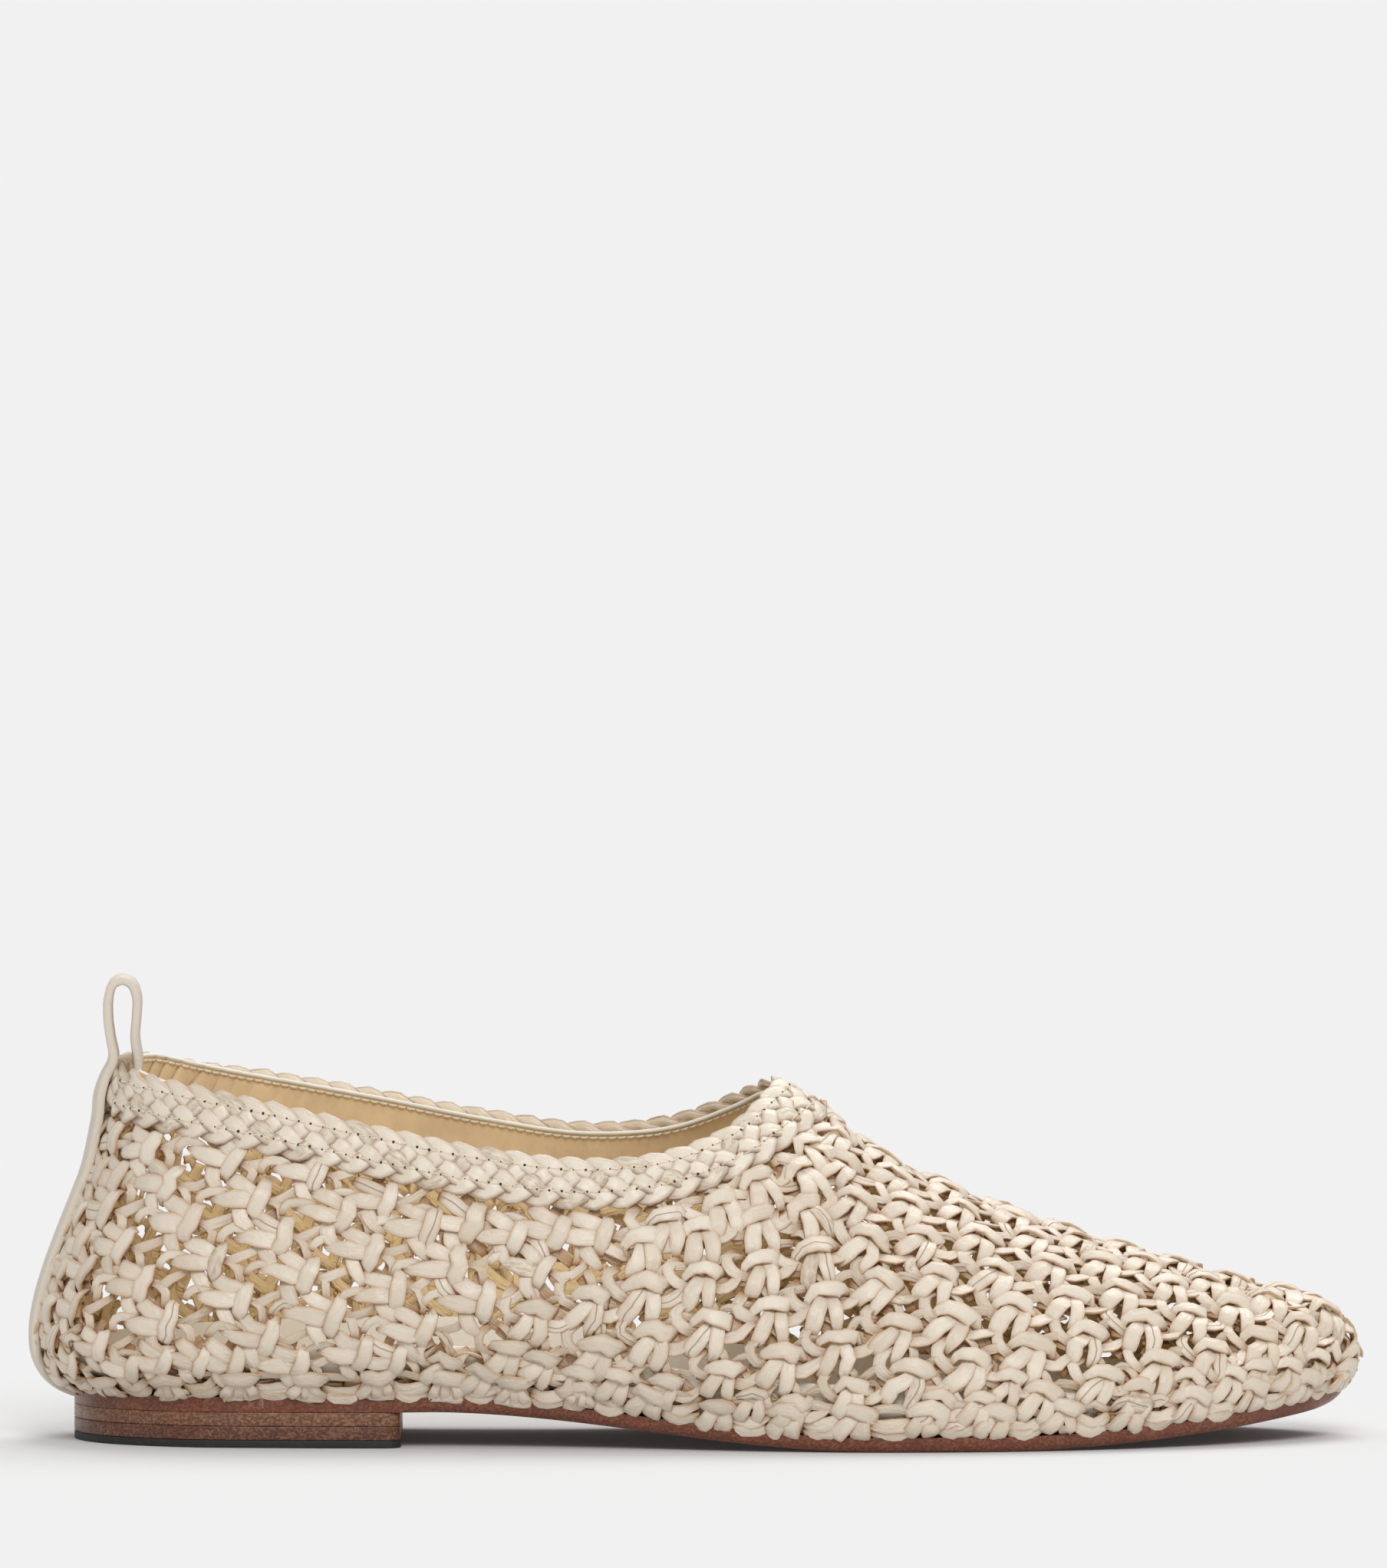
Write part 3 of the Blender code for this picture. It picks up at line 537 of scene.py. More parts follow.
class WallSurface:
    """The upper's outer surface, read at any side, share of the way to the toe and height up the wall."""

    def __init__(self):
        share = np.linspace(0, 1, WALL_COLUMNS + 1)
        rows = np.linspace(0, 1, WALL_ROWS + 1)
        self.share = share
        self.points = np.stack([wall_columns(side, share, rows) for side in SIDES])
        self.fore = np.gradient(self.points, axis=1) * WALL_COLUMNS
        last = int(THROAT_SHARE * WALL_COLUMNS)
        self.fore[:, last] = (self.points[:, last] - self.points[:, last - 1]) * WALL_COLUMNS
        self.fore[:, last + 1] = (self.points[:, last + 2] - self.points[:, last + 1]) * WALL_COLUMNS
        self.up = np.gradient(self.points, axis=2) * WALL_ROWS
        facing = np.array([1.0, -1.0])[:, None, None, None]
        self.normals = unit(np.cross(self.fore, self.up) * facing)
        self.length = np.linalg.norm(np.diff(self.points, axis=2), axis=3).sum(axis=2)
        number = np.arange(self.points[..., 0].size).reshape(self.points.shape[:3])
        quads = np.stack([number[:, :-1, :-1], number[:, 1:, :-1], number[:, 1:, 1:], number[:, :-1, 1:]], -1)
        self.tree = BVHTree.FromPolygons(self.points.reshape(-1, 3).tolist(), quads.reshape(-1, 4).tolist())

    def column_length(self, side, share):
        both = [np.interp(share, self.share, self.length[i]) for i in (0, 1)]
        return np.where(side == 0, both[0], both[1])

    def read(self, grid, side, share, height):
        """Values of a grid between its points."""
        column = np.clip(share, 0, 1) * WALL_COLUMNS
        row = np.clip(height, 0, 1) * WALL_ROWS
        i = np.minimum(column.astype(int), WALL_COLUMNS - 1)
        j = np.minimum(row.astype(int), WALL_ROWS - 1)
        s, t = (column - i)[..., None], (row - j)[..., None]
        lower = grid[side, i, j] * (1 - s) + grid[side, i + 1, j] * s
        upper = grid[side, i, j + 1] * (1 - s) + grid[side, i + 1, j + 1] * s
        return lower * (1 - t) + upper * t

    def fold(self, side, share, height):
        """The same place by its own side: past the heel, the toe or the ridge, the other side goes on."""
        past = (share < 0) | (share > 1)
        share = np.where(share < 0, -share, np.where(share > 1, 2 - share, share))
        side = np.where(past, 1 - side, side)
        over = (height > 1) & (share > THROAT_SHARE)
        return np.where(over, 1 - side, side), share, np.where(over, 2 - height, height)

    def place(self, side, share, height):
        """Points and outward normals, also a little above the collar seam and below the sole's edge."""
        side, share, height = self.fold(side, share, height)
        points = self.read(self.points, side, share, height)
        normals = unit(self.read(self.normals, side, share, height))
        above = np.maximum(height - 1, 0)[..., None]
        below = np.minimum(height, 0) * self.column_length(side, share)
        points = points + above * self.read(self.up, side, share, height)
        points[..., 2] += below
        level = normals * np.array([1.0, 1.0, 0.0])
        under = (height < 0)[..., None]
        return points, np.where(under, unit(level + 1e-9), normals)

    def drape(self, points, facing):
        """Where points near the wall come to lie on it, the normals there, and their reach past its edges."""
        landed, normals = np.empty_like(points), np.empty_like(points)
        for index in np.ndindex(points.shape[:-1]):
            landed[index], normals[index], _, _ = self.tree.find_nearest(points[index])
        normals *= np.where((normals * facing).sum(-1, keepdims=True) < 0, -1, 1)
        off = points - landed
        return landed, normals, off - normals * (off * normals).sum(-1, keepdims=True)


WALL_SURFACE = WallSurface()


# Mesh helpers

def to_frame(points):
    """The shoe's millimetres as the frame's metres."""
    return (np.asarray(points, float) - FRAME_ORIGIN) * MM


def link_piece(name, mesh, material, node, slot):
    """Puts a mesh in the scene as a piece that rides on the shoe and stands for a CAD node."""
    piece = bpy.data.objects.new(name, mesh)
    bpy.context.scene.collection.objects.link(piece)
    mesh.materials.append(material)
    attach(piece, "root")
    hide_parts(node)
    return piece


def between(knots, count):
    """Weights that spread the knots of a strand over its rings, on a smooth curve through them."""
    own = np.eye(len(knots))
    padded = np.vstack([2 * own[0] - own[1], own, 2 * own[-1] - own[-2]])
    even = np.linspace(0, 1, count)
    eased = 0.5 - 0.5 * np.cos(math.pi * even)
    at = (len(knots) - 1) * (RING_EVENNESS * even + (1 - RING_EVENNESS) * eased)
    i = np.minimum(at.astype(int), len(knots) - 2)
    t = (at - i)[:, None]
    p0, p1, p2, p3 = (padded[i + k] for k in range(4))
    return 0.5 * (
        2 * p1 + (p2 - p0) * t + (2 * p0 - 5 * p1 + 4 * p2 - p3) * t**2 + (3 * p1 - p0 - 3 * p2 + p3) * t**3
    )


def strand_rings(points, normals, widths, thickness, roll, section):
    """Rings of points round each strand: [strand, ring, point of the section, xyz]."""
    run = unit(np.gradient(points, axis=1))
    face = normals - run * (normals * run).sum(-1, keepdims=True)
    face = unit(face)
    across = np.cross(run, face)
    turn = np.radians(roll)[..., None]
    face, across = face * np.cos(turn) + across * np.sin(turn), across * np.cos(turn) - face * np.sin(turn)
    wide = across[:, :, None] * (section[:, 0] * widths[..., None] / 2)[..., None]
    thick = face[:, :, None] * (section[:, 1] * thickness[..., None] / 2)[..., None]
    return points[:, :, None] + wide + thick


def strand_faces(count, rings, around):
    """Quads along each strand and a cap at each end, over rings laid out strand by strand."""
    ring, point = np.meshgrid(np.arange(rings - 1), np.arange(around), indexing="ij")
    turned = (point + 1) % around
    quad = np.stack([ring * around + point, (ring + 1) * around + point,
                     (ring + 1) * around + turned, ring * around + turned], -1).reshape(-1, 4)
    caps = np.stack([np.arange(around), (rings - 1) * around + np.arange(around)[::-1]])
    start = np.arange(count)[:, None, None] * rings * around
    return (quad[None] + start).reshape(-1, 4), (caps[None] + start).reshape(-1, around)


def strand_mesh(name, rings_of_points, widths, ends, seeds, crisp=False):
    """One mesh of many strands, with what their material reads: place, closeness to an end or depth that
    weights its painted shade and crease pinch, edge and back.
    """
    count, rings, around, _ = rings_of_points.shape
    quads, caps = strand_faces(count, rings, around)
    mesh = bpy.data.meshes.new(name)
    mesh.from_pydata(to_frame(rings_of_points.reshape(-1, 3)), [], quads.tolist() + caps.tolist())
    middle = rings_of_points.mean(axis=2)
    run = np.concatenate(
        [np.zeros((count, 1)), np.cumsum(np.linalg.norm(np.diff(middle, axis=1), axis=2), axis=1)], axis=1
    )
    section = STRAND_SECTION if around == len(STRAND_SECTION) else ROUND_SECTION
    place = np.zeros((count, rings, around, 3))
    place[..., 0] = section[:, 0] * widths[..., None] / 2
    place[..., 1] = run[..., None]
    place[..., 2] = seeds[:, None, None]
    shape = (count, rings, around)
    write_attribute(mesh, "strand_place", "FLOAT_VECTOR", "vector", place)
    for attribute, values in (
        ("strand_end", ends[..., None]),
        ("strand_edge", np.abs(section[:, 0])),
        ("strand_back", (section[:, 1] < BACK_LEVEL) * 1.0),
    ):
        write_attribute(mesh, attribute, "FLOAT", "value", np.broadcast_to(values, shape))
    bake_map(mesh, count, rings, around)
    mesh.shade_smooth()
    mesh.validate()
    if crisp:
        ends_of_edges = np.empty(2 * len(mesh.edges), np.int32)
        mesh.edges.foreach_get("vertices", ends_of_edges)
        first, second = ends_of_edges.reshape(-1, 2).T % around
        mesh.edges.foreach_set("use_edge_sharp", (first == second) & np.isin(first, CRISP_POINTS))
    return mesh


def round_strands(name, points, normals, width, thickness):
    """A mesh of round strands of one width and thickness."""
    widths = np.full(points.shape[:2], width)
    flat = np.zeros_like(widths)
    rings = strand_rings(points, normals, widths, np.full_like(widths, thickness), flat, ROUND_SECTION)
    return strand_mesh(name, rings, widths, flat, np.linspace(0, 1, len(points)))


def write_attribute(mesh, name, kind, field, values):
    attribute = mesh.attributes.new(name, kind, "POINT")
    attribute.data.foreach_set(field, np.ascontiguousarray(values, np.float32).ravel())


def bake_map(mesh, count, rings, around):
    """A map with a tile for each strand, so that the export has room for every one of them."""
    tiles = math.ceil(math.sqrt(count))
    strand = np.arange(count)
    corner = np.stack([strand % tiles, strand // tiles], -1) / tiles
    ring, point = np.meshgrid(np.arange(rings - 1), np.arange(around), indexing="ij")
    u = np.stack([point, point, point + 1, point + 1], -1) / around
    v = np.stack([ring, ring + 1, ring + 1, ring], -1) / (rings - 1)
    run = RUN_MARGIN + (1 - 2 * RUN_MARGIN) * v
    quad = (TILE_MARGIN + (1 - 2 * TILE_MARGIN) * np.stack([u, run], -1)).reshape(-1, 4, 2) / tiles
    turn = np.arange(around) / around * math.tau
    cap = CAP_RADIUS * np.stack([np.cos(turn), np.sin(turn)], -1)
    caps = np.stack([cap + place for place in CAP_PLACES]) / tiles
    quads = (quad[None] + corner[:, None, None]).reshape(-1, 2)
    all_caps = (caps[None] + corner[:, None, None]).reshape(-1, 2)
    layer = mesh.uv_layers.new(name="OFBake", do_init=False)
    layer.uv.foreach_set("vector", np.concatenate([quads, all_caps]).astype(np.float32).ravel())


def finished_mesh(name, bm):
    """The bmesh as a mesh of its own."""
    mesh = bpy.data.meshes.new(name)
    bm.to_mesh(mesh)
    bm.free()
    return mesh


def raised_plate(outline, thickness):
    """A bmesh plate on this outline, pulled straight up."""
    bm = bmesh.new()
    face = bm.faces.new([bm.verts.new(point) for point in outline])
    grown = bmesh.ops.extrude_face_region(bm, geom=[face])["geom"]
    raised = [item for item in grown if isinstance(item, bmesh.types.BMVert)]
    bmesh.ops.translate(bm, verts=raised, vec=(0, 0, thickness))
    bmesh.ops.recalc_face_normals(bm, faces=bm.faces)
    return bm


def round_edges(bm, edges, offset, segments):
    bmesh.ops.bevel(bm, geom=edges, offset=offset, offset_type="OFFSET", segments=segments, profile=0.5,
                    affect="EDGES", material=-1)


def grid_mesh(name, columns, rows, place, creases=None):
    """A grid laid out by place(column shares, row shares) in millimetres, with its creases marked for painted
    shade.
    """
    bm = bmesh.new()
    bmesh.ops.create_grid(bm, x_segments=columns, y_segments=rows, size=1.0)
    shares = np.linspace(0, 1, columns + 1), np.linspace(0, 1, rows + 1)
    places = to_frame(place(*shares))
    marks = creases(*shares) if creases else None
    layer = bm.verts.layers.float.new("crease") if creases else None
    for vert in bm.verts:
        column = round((vert.co.x + 1) / 2 * columns)
        row = round((vert.co.y + 1) / 2 * rows)
        vert.co = places[column, row]
        if creases:
            vert[layer] = marks[column, row]
    bmesh.ops.remove_doubles(bm, verts=bm.verts, dist=0.01 * MM)
    bm.normal_update()
    mesh = finished_mesh(name, bm)
    mesh.shade_smooth()
    return mesh


def thicken(piece, thickness, offset, rounding, segments=3):
    """Gives a sheet its thickness in millimetres and rounds its edges."""
    solid = piece.modifiers.new("Thickness", "SOLIDIFY")
    solid.thickness = thickness * MM
    solid.offset = offset
    solid.use_rim = True
    solid.use_even_offset = True
    bevel = piece.modifiers.new("Rounding", "BEVEL")
    bevel.width = rounding * MM
    bevel.segments = segments
    bevel.limit_method = "ANGLE"
    bevel.angle_limit = SMOOTH_ANGLE


# Shader helpers

def srgb(red, green, blue):
    """A colour by its display values from 0 to 255, as the linear values that shaders use."""
    return tuple(
        value / 255 / 12.92 if value <= 10 else ((value / 255 + 0.055) / 1.055) ** 2.4
        for value in (red, green, blue)
    )


def dimmed(colour, factor):
    return tuple(value * factor for value in colour)


def new_group(name, inputs, outputs):
    """An empty shader group with these sockets: (name, kind, default) in, (name, kind) out."""
    group = bpy.data.node_groups.new(name, "ShaderNodeTree")
    for socket, kind, default in inputs:
        made = group.interface.new_socket(socket, in_out="INPUT", socket_type=kind)
        if default is not None:
            made.default_value = default
    for socket, kind in outputs:
        group.interface.new_socket(socket, in_out="OUTPUT", socket_type=kind)
    return group, group.nodes.new("NodeGroupInput").outputs, group.nodes.new("NodeGroupOutput").inputs


class Nodes:
    """Short ways to place and join nodes in one tree."""

    def __init__(self, tree):
        self.tree = tree

    def add(self, kind, inputs=None, **settings):
        node = self.tree.nodes.new(kind)
        for name, value in settings.items():
            setattr(node, name, value)
        for key, value in (inputs or {}).items():
            self.put(node.inputs[key], value)
        return node

    def put(self, socket, value):
        if isinstance(value, bpy.types.NodeSocket):
            self.tree.links.new(value, socket)
        else:
            socket.default_value = value

    def math(self, operation, *values, clamp=False):
        node = self.add("ShaderNodeMath", dict(enumerate(values)), operation=operation)
        node.use_clamp = clamp
        return node.outputs[0]

    def ramp(self, value, low, high, to_low=0.0, to_high=1.0):
        node = self.add("ShaderNodeMapRange", {0: value, 1: low, 2: high, 3: to_low, 4: to_high})
        node.interpolation_type = "SMOOTHSTEP"
        return node.outputs[0]

    def mix(self, factor, first, second, blend="MIX"):
        node = self.add("ShaderNodeMix", data_type="RGBA", blend_type=blend)
        self.put(node.inputs["Factor"], factor)
        for socket, value in ((node.inputs["A"], first), (node.inputs["B"], second)):
            colours = [s for s in node.inputs if s.name == socket.name and s.type == "RGBA"]
            self.put(colours[0], value if isinstance(value, bpy.types.NodeSocket) else (*value[:3], 1.0))
        return next(s for s in node.outputs if s.type == "RGBA")

    def noise(self, vector, scale, detail=2.0, rough=0.5):
        inputs = {"Vector": vector, "Scale": scale, "Detail": detail, "Roughness": rough}
        return self.add("ShaderNodeTexNoise", inputs).outputs[0]

    def scaled(self, vector, scale):
        inputs = {"Vector": vector, "Scale": scale}
        return self.add("ShaderNodeMapping", inputs, vector_type="POINT").outputs[0]

    def attribute(self, name, output="Fac"):
        return self.add("ShaderNodeAttribute", attribute_name=name).outputs[output]

    def object_coordinates(self):
        return self.add("ShaderNodeTexCoord").outputs["Object"]

    def bump(self, height, distance, strength=1.0):
        """A bump of this depth in millimetres."""
        inputs = {"Height": height, "Strength": strength, "Distance": distance * MM}
        return self.add("ShaderNodeBump", inputs).outputs[0]

    def group(self, name, inputs):
        return self.add("ShaderNodeGroup", inputs, node_tree=bpy.data.node_groups[name])


def build_groups():
    """Shared effects: leather grain, and the creases and tints that follow a strand, with painted shade
    towards its edges, at its ends, along its folds and where it goes under.
    """
    if "leather_grain" in bpy.data.node_groups:
        return
    group, given, out = new_group(
        "leather_grain",
        [("Vector", "NodeSocketVector", None), ("Cells", "NodeSocketFloat", 1400.0)],
        [("Height", "NodeSocketFloat"), ("Mottle", "NodeSocketFloat")],
    )
    n = Nodes(group)
    cells = n.add("ShaderNodeTexVoronoi", feature="SMOOTH_F1")
    for socket, value in (("Vector", given["Vector"]), ("Scale", given["Cells"]), ("Smoothness", 0.6)):
        n.put(cells.inputs[socket], value)
    fine = n.noise(given["Vector"], n.math("MULTIPLY", given["Cells"], 0.45), 3.0)
    pebbled = n.math("MULTIPLY", cells.outputs[0], 0.5)
    n.put(out["Height"], n.math("ADD", pebbled, n.math("MULTIPLY", fine, 0.6)))
    n.put(out["Mottle"], n.noise(given["Vector"], n.math("MULTIPLY", given["Cells"], 0.09), 3.0, 0.6))

    group, given, out = new_group(
        "strand_creases",
        [("Place", "NodeSocketVector", None), ("End", "NodeSocketFloat", 0.0),
         ("Depth", "NodeSocketFloat", 1.0)],
        [("Height", "NodeSocketFloat"), ("Fold", "NodeSocketFloat")],
    )
    n = Nodes(group)
    drawn = n.scaled(given["Place"], (2.2, 0.28, 37.0))
    creases = n.noise(drawn, 1.0, 3.0, 0.6)
    pinched = n.math("ADD", n.math("MULTIPLY", given["End"], 1.1), 0.16)
    soft = n.noise(n.scaled(given["Place"], (0.55, 0.35, 19.0)), 1.0, 2.0)
    apart = n.add("ShaderNodeSeparateXYZ", {0: given["Place"]})
    folded = n.noise(n.scaled(given["Place"], (0.0, 0.12, 53.0)), 1.0, 1.0)
    wander = n.math("MULTIPLY_ADD", folded, 1.6, -0.8)
    across = n.math("ABSOLUTE", n.math("SUBTRACT", apart.outputs[0], wander))
    line = n.ramp(across, 0.03, 0.14, 1.0, 0.0)
    drawn_lot = n.math("FRACT", n.math("MULTIPLY", apart.outputs[2], 71.3))
    chosen = n.math("GREATER_THAN", drawn_lot, 0.94)
    fold = n.math("MULTIPLY", line, chosen)
    height = n.math("ADD", n.math("MULTIPLY", creases, pinched), n.math("MULTIPLY", soft, 0.5))
    sunken = n.math("SUBTRACT", height, n.math("MULTIPLY", fold, 0.8))
    n.put(out["Height"], n.math("MULTIPLY", sunken, given["Depth"]))
    n.put(out["Fold"], fold)

    group, given, out = new_group(
        "strand_tint",
        [("Place", "NodeSocketVector", None),
         *((name, "NodeSocketFloat", 0.0) for name in ("End", "Edge", "Fold", "Back")),
         *((name, "NodeSocketColor", None) for name in ("Colour", "Pale", "Deep", "Grey", "Flesh"))],
        [("Colour", "NodeSocketColor")],
    )
    n = Nodes(group)
    apart = n.add("ShaderNodeSeparateXYZ", {0: given["Place"]})
    seed = apart.outputs[2]
    cloud = n.noise(n.scaled(given["Place"], (0.35, 0.22, 91.0)), 1.0, 3.0, 0.6)
    paleness = n.math("ADD", n.math("MULTIPLY", seed, 0.5), n.math("MULTIPLY", cloud, 0.7))
    colour = n.mix(n.ramp(paleness, 0.2, 0.95), given["Colour"], given["Pale"])
    suede = n.math("GREATER_THAN", n.math("FRACT", n.math("MULTIPLY", seed, 29.7)), 0.982)
    streaks = n.noise(n.scaled(given["Place"], (1.6, 0.5, 11.0)), 1.0, 3.0, 0.7)
    colour = n.mix(n.math("MULTIPLY", suede, n.ramp(streaks, 0.35, 0.75)), colour, given["Grey"])
    # Painted shade: warm brown towards the strand's edges, at its ends and where it lies deep, and along its
    # folds
    rim = n.math("MULTIPLY", n.math("POWER", given["Edge"], 2.6), 0.6)
    under_shade = n.math("MULTIPLY", n.math("POWER", given["End"], 1.2), 0.95)
    lines = n.math("MULTIPLY", given["Fold"], 0.55)
    painted_shade_weight = n.math("MAXIMUM", n.math("MAXIMUM", rim, under_shade), lines, clamp=True)
    front = n.mix(painted_shade_weight, colour, given["Deep"])
    n.put(out["Colour"], n.mix(n.ramp(given["Back"], 0.35, 0.9), front, given["Flesh"]))


def principled(name):
    """A new material, its nodes and its Principled shader."""
    material = bpy.data.materials.new(name)
    material.use_nodes = True
    return material, Nodes(material.node_tree), material.node_tree.nodes["Principled BSDF"]


def strand_material(name, settings, crease_depth):
    """Soft cream leather in strands, creased where it is pulled tight, with warm brown painted shade where it
    goes under, towards its edges and along its folds.
    """
    build_groups()
    material, n, shader = principled(name)
    place = n.attribute("strand_place", "Vector")
    end = n.attribute("strand_end")
    creases = n.group("strand_creases", {"Place": place, "End": end, "Depth": crease_depth})
    tint = n.group("strand_tint", {
        "Place": place, "End": end, "Edge": n.attribute("strand_edge"), "Fold": creases.outputs["Fold"],
        "Back": n.attribute("strand_back"), "Colour": (*settings.colour, 1.0),
        "Pale": (*settings.pale_colour, 1.0), "Deep": (*settings.painted_shade_colour, 1.0),
        "Grey": (*settings.suede_colour, 1.0), "Flesh": (*settings.back_colour, 1.0),
    })
    grain = n.group("leather_grain", {"Vector": n.object_coordinates(), "Cells": 2600.0})
    height = n.math("ADD", creases.outputs["Height"], n.math("MULTIPLY", grain.outputs["Height"], 0.12))
    n.put(shader.inputs["Base Color"], tint.outputs["Colour"])
    n.put(shader.inputs["Roughness"], n.ramp(grain.outputs["Mottle"], 0.3, 0.7, 0.33, 0.45))
    n.put(shader.inputs["Normal"], n.bump(height, 0.6, 0.7))
    shader.inputs["Specular IOR Level"].default_value = 0.5
    return material


def hide_material(name, colour, shade, cells, depth=0.15, roughness=0.5):
    """Plain hide: grain, a little mottling towards the shade, and soft wear."""
    build_groups()
    material, n, shader = principled(name)
    coordinates = n.object_coordinates()
    grain = n.group("leather_grain", {"Vector": coordinates, "Cells": cells})
    wear = n.ramp(n.noise(coordinates, cells * 0.03, 4.0, 0.6), 0.3, 0.75)
    tone = n.math("MULTIPLY_ADD", grain.outputs["Mottle"], 0.5, n.math("MULTIPLY", wear, 0.5))
    gloss = n.ramp(grain.outputs["Mottle"], 0.3, 0.7, roughness - 0.06, roughness + 0.08)
    n.put(shader.inputs["Base Color"], n.mix(tone, dimmed(colour, shade), colour))
    n.put(shader.inputs["Normal"], n.bump(grain.outputs["Height"], depth, 0.5))
    n.put(shader.inputs["Roughness"], gloss)
    return material


HOLLOW_COLOUR = (0.035, 0.016, 0.011)


def burnished_material(name, colour, grain_colour, speckle):
    """Burnished cut edge of sole leather: fine pale fibres and grains, darker in the hollows."""
    build_groups()
    material, n, shader = principled(name)
    coordinates = n.object_coordinates()
    fibres = n.noise(n.scaled(coordinates, (1500.0, 1500.0, 2100.0)), 1.0, 3.0, 0.6)
    grains = n.noise(coordinates, 3200.0, 2.0, 0.5)
    cloud = n.noise(coordinates, 120.0, 3.0, 0.6)
    pale_grains = n.math("MULTIPLY", n.ramp(grains, 0.5, 0.64), 0.4)
    pale = n.math("MULTIPLY_ADD", n.ramp(fibres, 0.47, 0.6), 0.6, pale_grains)
    base = n.mix(n.math("MULTIPLY", pale, speckle), colour, grain_colour)
    flecks = n.math("MULTIPLY", n.ramp(fibres, 0.34, 0.46, 1.0, 0.0), 0.6 * speckle)
    dark = n.math("MAXIMUM", flecks, n.ramp(cloud, 0.35, 0.75, 0.0, 0.3))
    n.put(shader.inputs["Base Color"], n.mix(dark, base, HOLLOW_COLOUR))
    n.put(shader.inputs["Normal"], n.bump(n.math("ADD", fibres, grains), 0.15, 0.4))
    n.put(shader.inputs["Roughness"], n.ramp(cloud, 0.3, 0.7, 0.3, 0.46))
    return material


# Settings

class WeaveSettings(bpy.types.PropertyGroup):
    """Sizes and colours of the woven upper."""

    thickness: FloatProperty(
        name="Strand thickness", description="How thick a strand of the weave is", default=0.75 * MM,
        min=0.3 * MM, max=2.0 * MM, unit="LENGTH")
    width_share: FloatProperty(
        name="Strand width", description="Width of the strands against the charted ones", default=1.0,
        min=0.6, max=1.4, subtype="FACTOR")
    unevenness: FloatProperty(
        name="Unevenness", description="How far hand weaving moves a strand", default=0.22 * MM, min=0.0,
        max=1.0 * MM, unit="LENGTH")
    seed: IntProperty(name="Seed", description="Start of the weave's random draws", default=7, min=0)
    colour: FloatVectorProperty(
        name="Leather", description="Colour of the strands", subtype="COLOR", default=srgb(223, 210, 191),
        min=0.0, max=1.0)
    pale_colour: FloatVectorProperty(
        name="Pale leather", description="Colour of the palest strands", subtype="COLOR",
        default=srgb(237, 227, 211), min=0.0, max=1.0)
    # Painted shade: the warm brown of strands towards their edges, at their ends, along their folds and where
    # they go under
    painted_shade_colour: FloatVectorProperty(
        name="Crevices", description="Colour where strands go under others", subtype="COLOR",
        default=srgb(184, 134, 78), min=0.0, max=1.0)
    suede_colour: FloatVectorProperty(
        name="Flesh side", description="Colour of strands that show their back", subtype="COLOR",
        default=srgb(186, 172, 150), min=0.0, max=1.0)
    back_colour: FloatVectorProperty(
        name="Inner side", description="Colour of the strands inside the shoe", subtype="COLOR",
        default=srgb(240, 212, 160), min=0.0, max=1.0)


class PlaitSettings(bpy.types.PropertyGroup):
    """Sizes and colours of the collar's plait and its stitching."""

    strand_width: FloatProperty(
        name="Strand width", description="Width of a strand of the plait", default=3.2 * MM, min=1.0 * MM,
        max=6.0 * MM, unit="LENGTH")
    strand_thickness: FloatProperty(
        name="Strand thickness", description="How thick a strand of the plait is", default=1.05 * MM,
        min=0.4 * MM, max=2.0 * MM, unit="LENGTH")
    pitch: FloatProperty(
        name="Pitch", description="Way along the topline from one strand to the next", default=5.1 * MM,
        min=2.0 * MM, max=10.0 * MM, unit="LENGTH")
    stitch: FloatProperty(
        name="Stitch", description="Length of a machine stitch", default=2.25 * MM, min=1.0 * MM,
        max=5.0 * MM, unit="LENGTH")
    thread: FloatProperty(
        name="Thread", description="Thickness of the sewing thread", default=0.28 * MM, min=0.1 * MM,
        max=1.0 * MM, unit="LENGTH")
    colour: FloatVectorProperty(
        name="Leather", description="Colour of the plait's strands", subtype="COLOR",
        default=srgb(234, 222, 203), min=0.0, max=1.0)
    pale_colour: FloatVectorProperty(
        name="Pale leather", description="Colour of the palest strands", subtype="COLOR",
        default=srgb(246, 237, 222), min=0.0, max=1.0)
    # Painted shade: the warm brown of the plait's strands towards their edges and where they pass under the
    # others
    painted_shade_colour: FloatVectorProperty(
        name="Crevices", description="Colour between the strands", subtype="COLOR",
        default=srgb(158, 114, 70), min=0.0, max=1.0)
    suede_colour: FloatVectorProperty(
        name="Flesh side", description="Colour of strands that show their back", subtype="COLOR",
        default=srgb(188, 176, 154), min=0.0, max=1.0)
    back_colour: FloatVectorProperty(
        name="Inner side", description="Colour of the strands inside the shoe", subtype="COLOR",
        default=srgb(246, 234, 214), min=0.0, max=1.0)
    thread_colour: FloatVectorProperty(
        name="Thread colour", description="Colour of the sewing thread", subtype="COLOR",
        default=srgb(248, 238, 216), min=0.0, max=1.0)


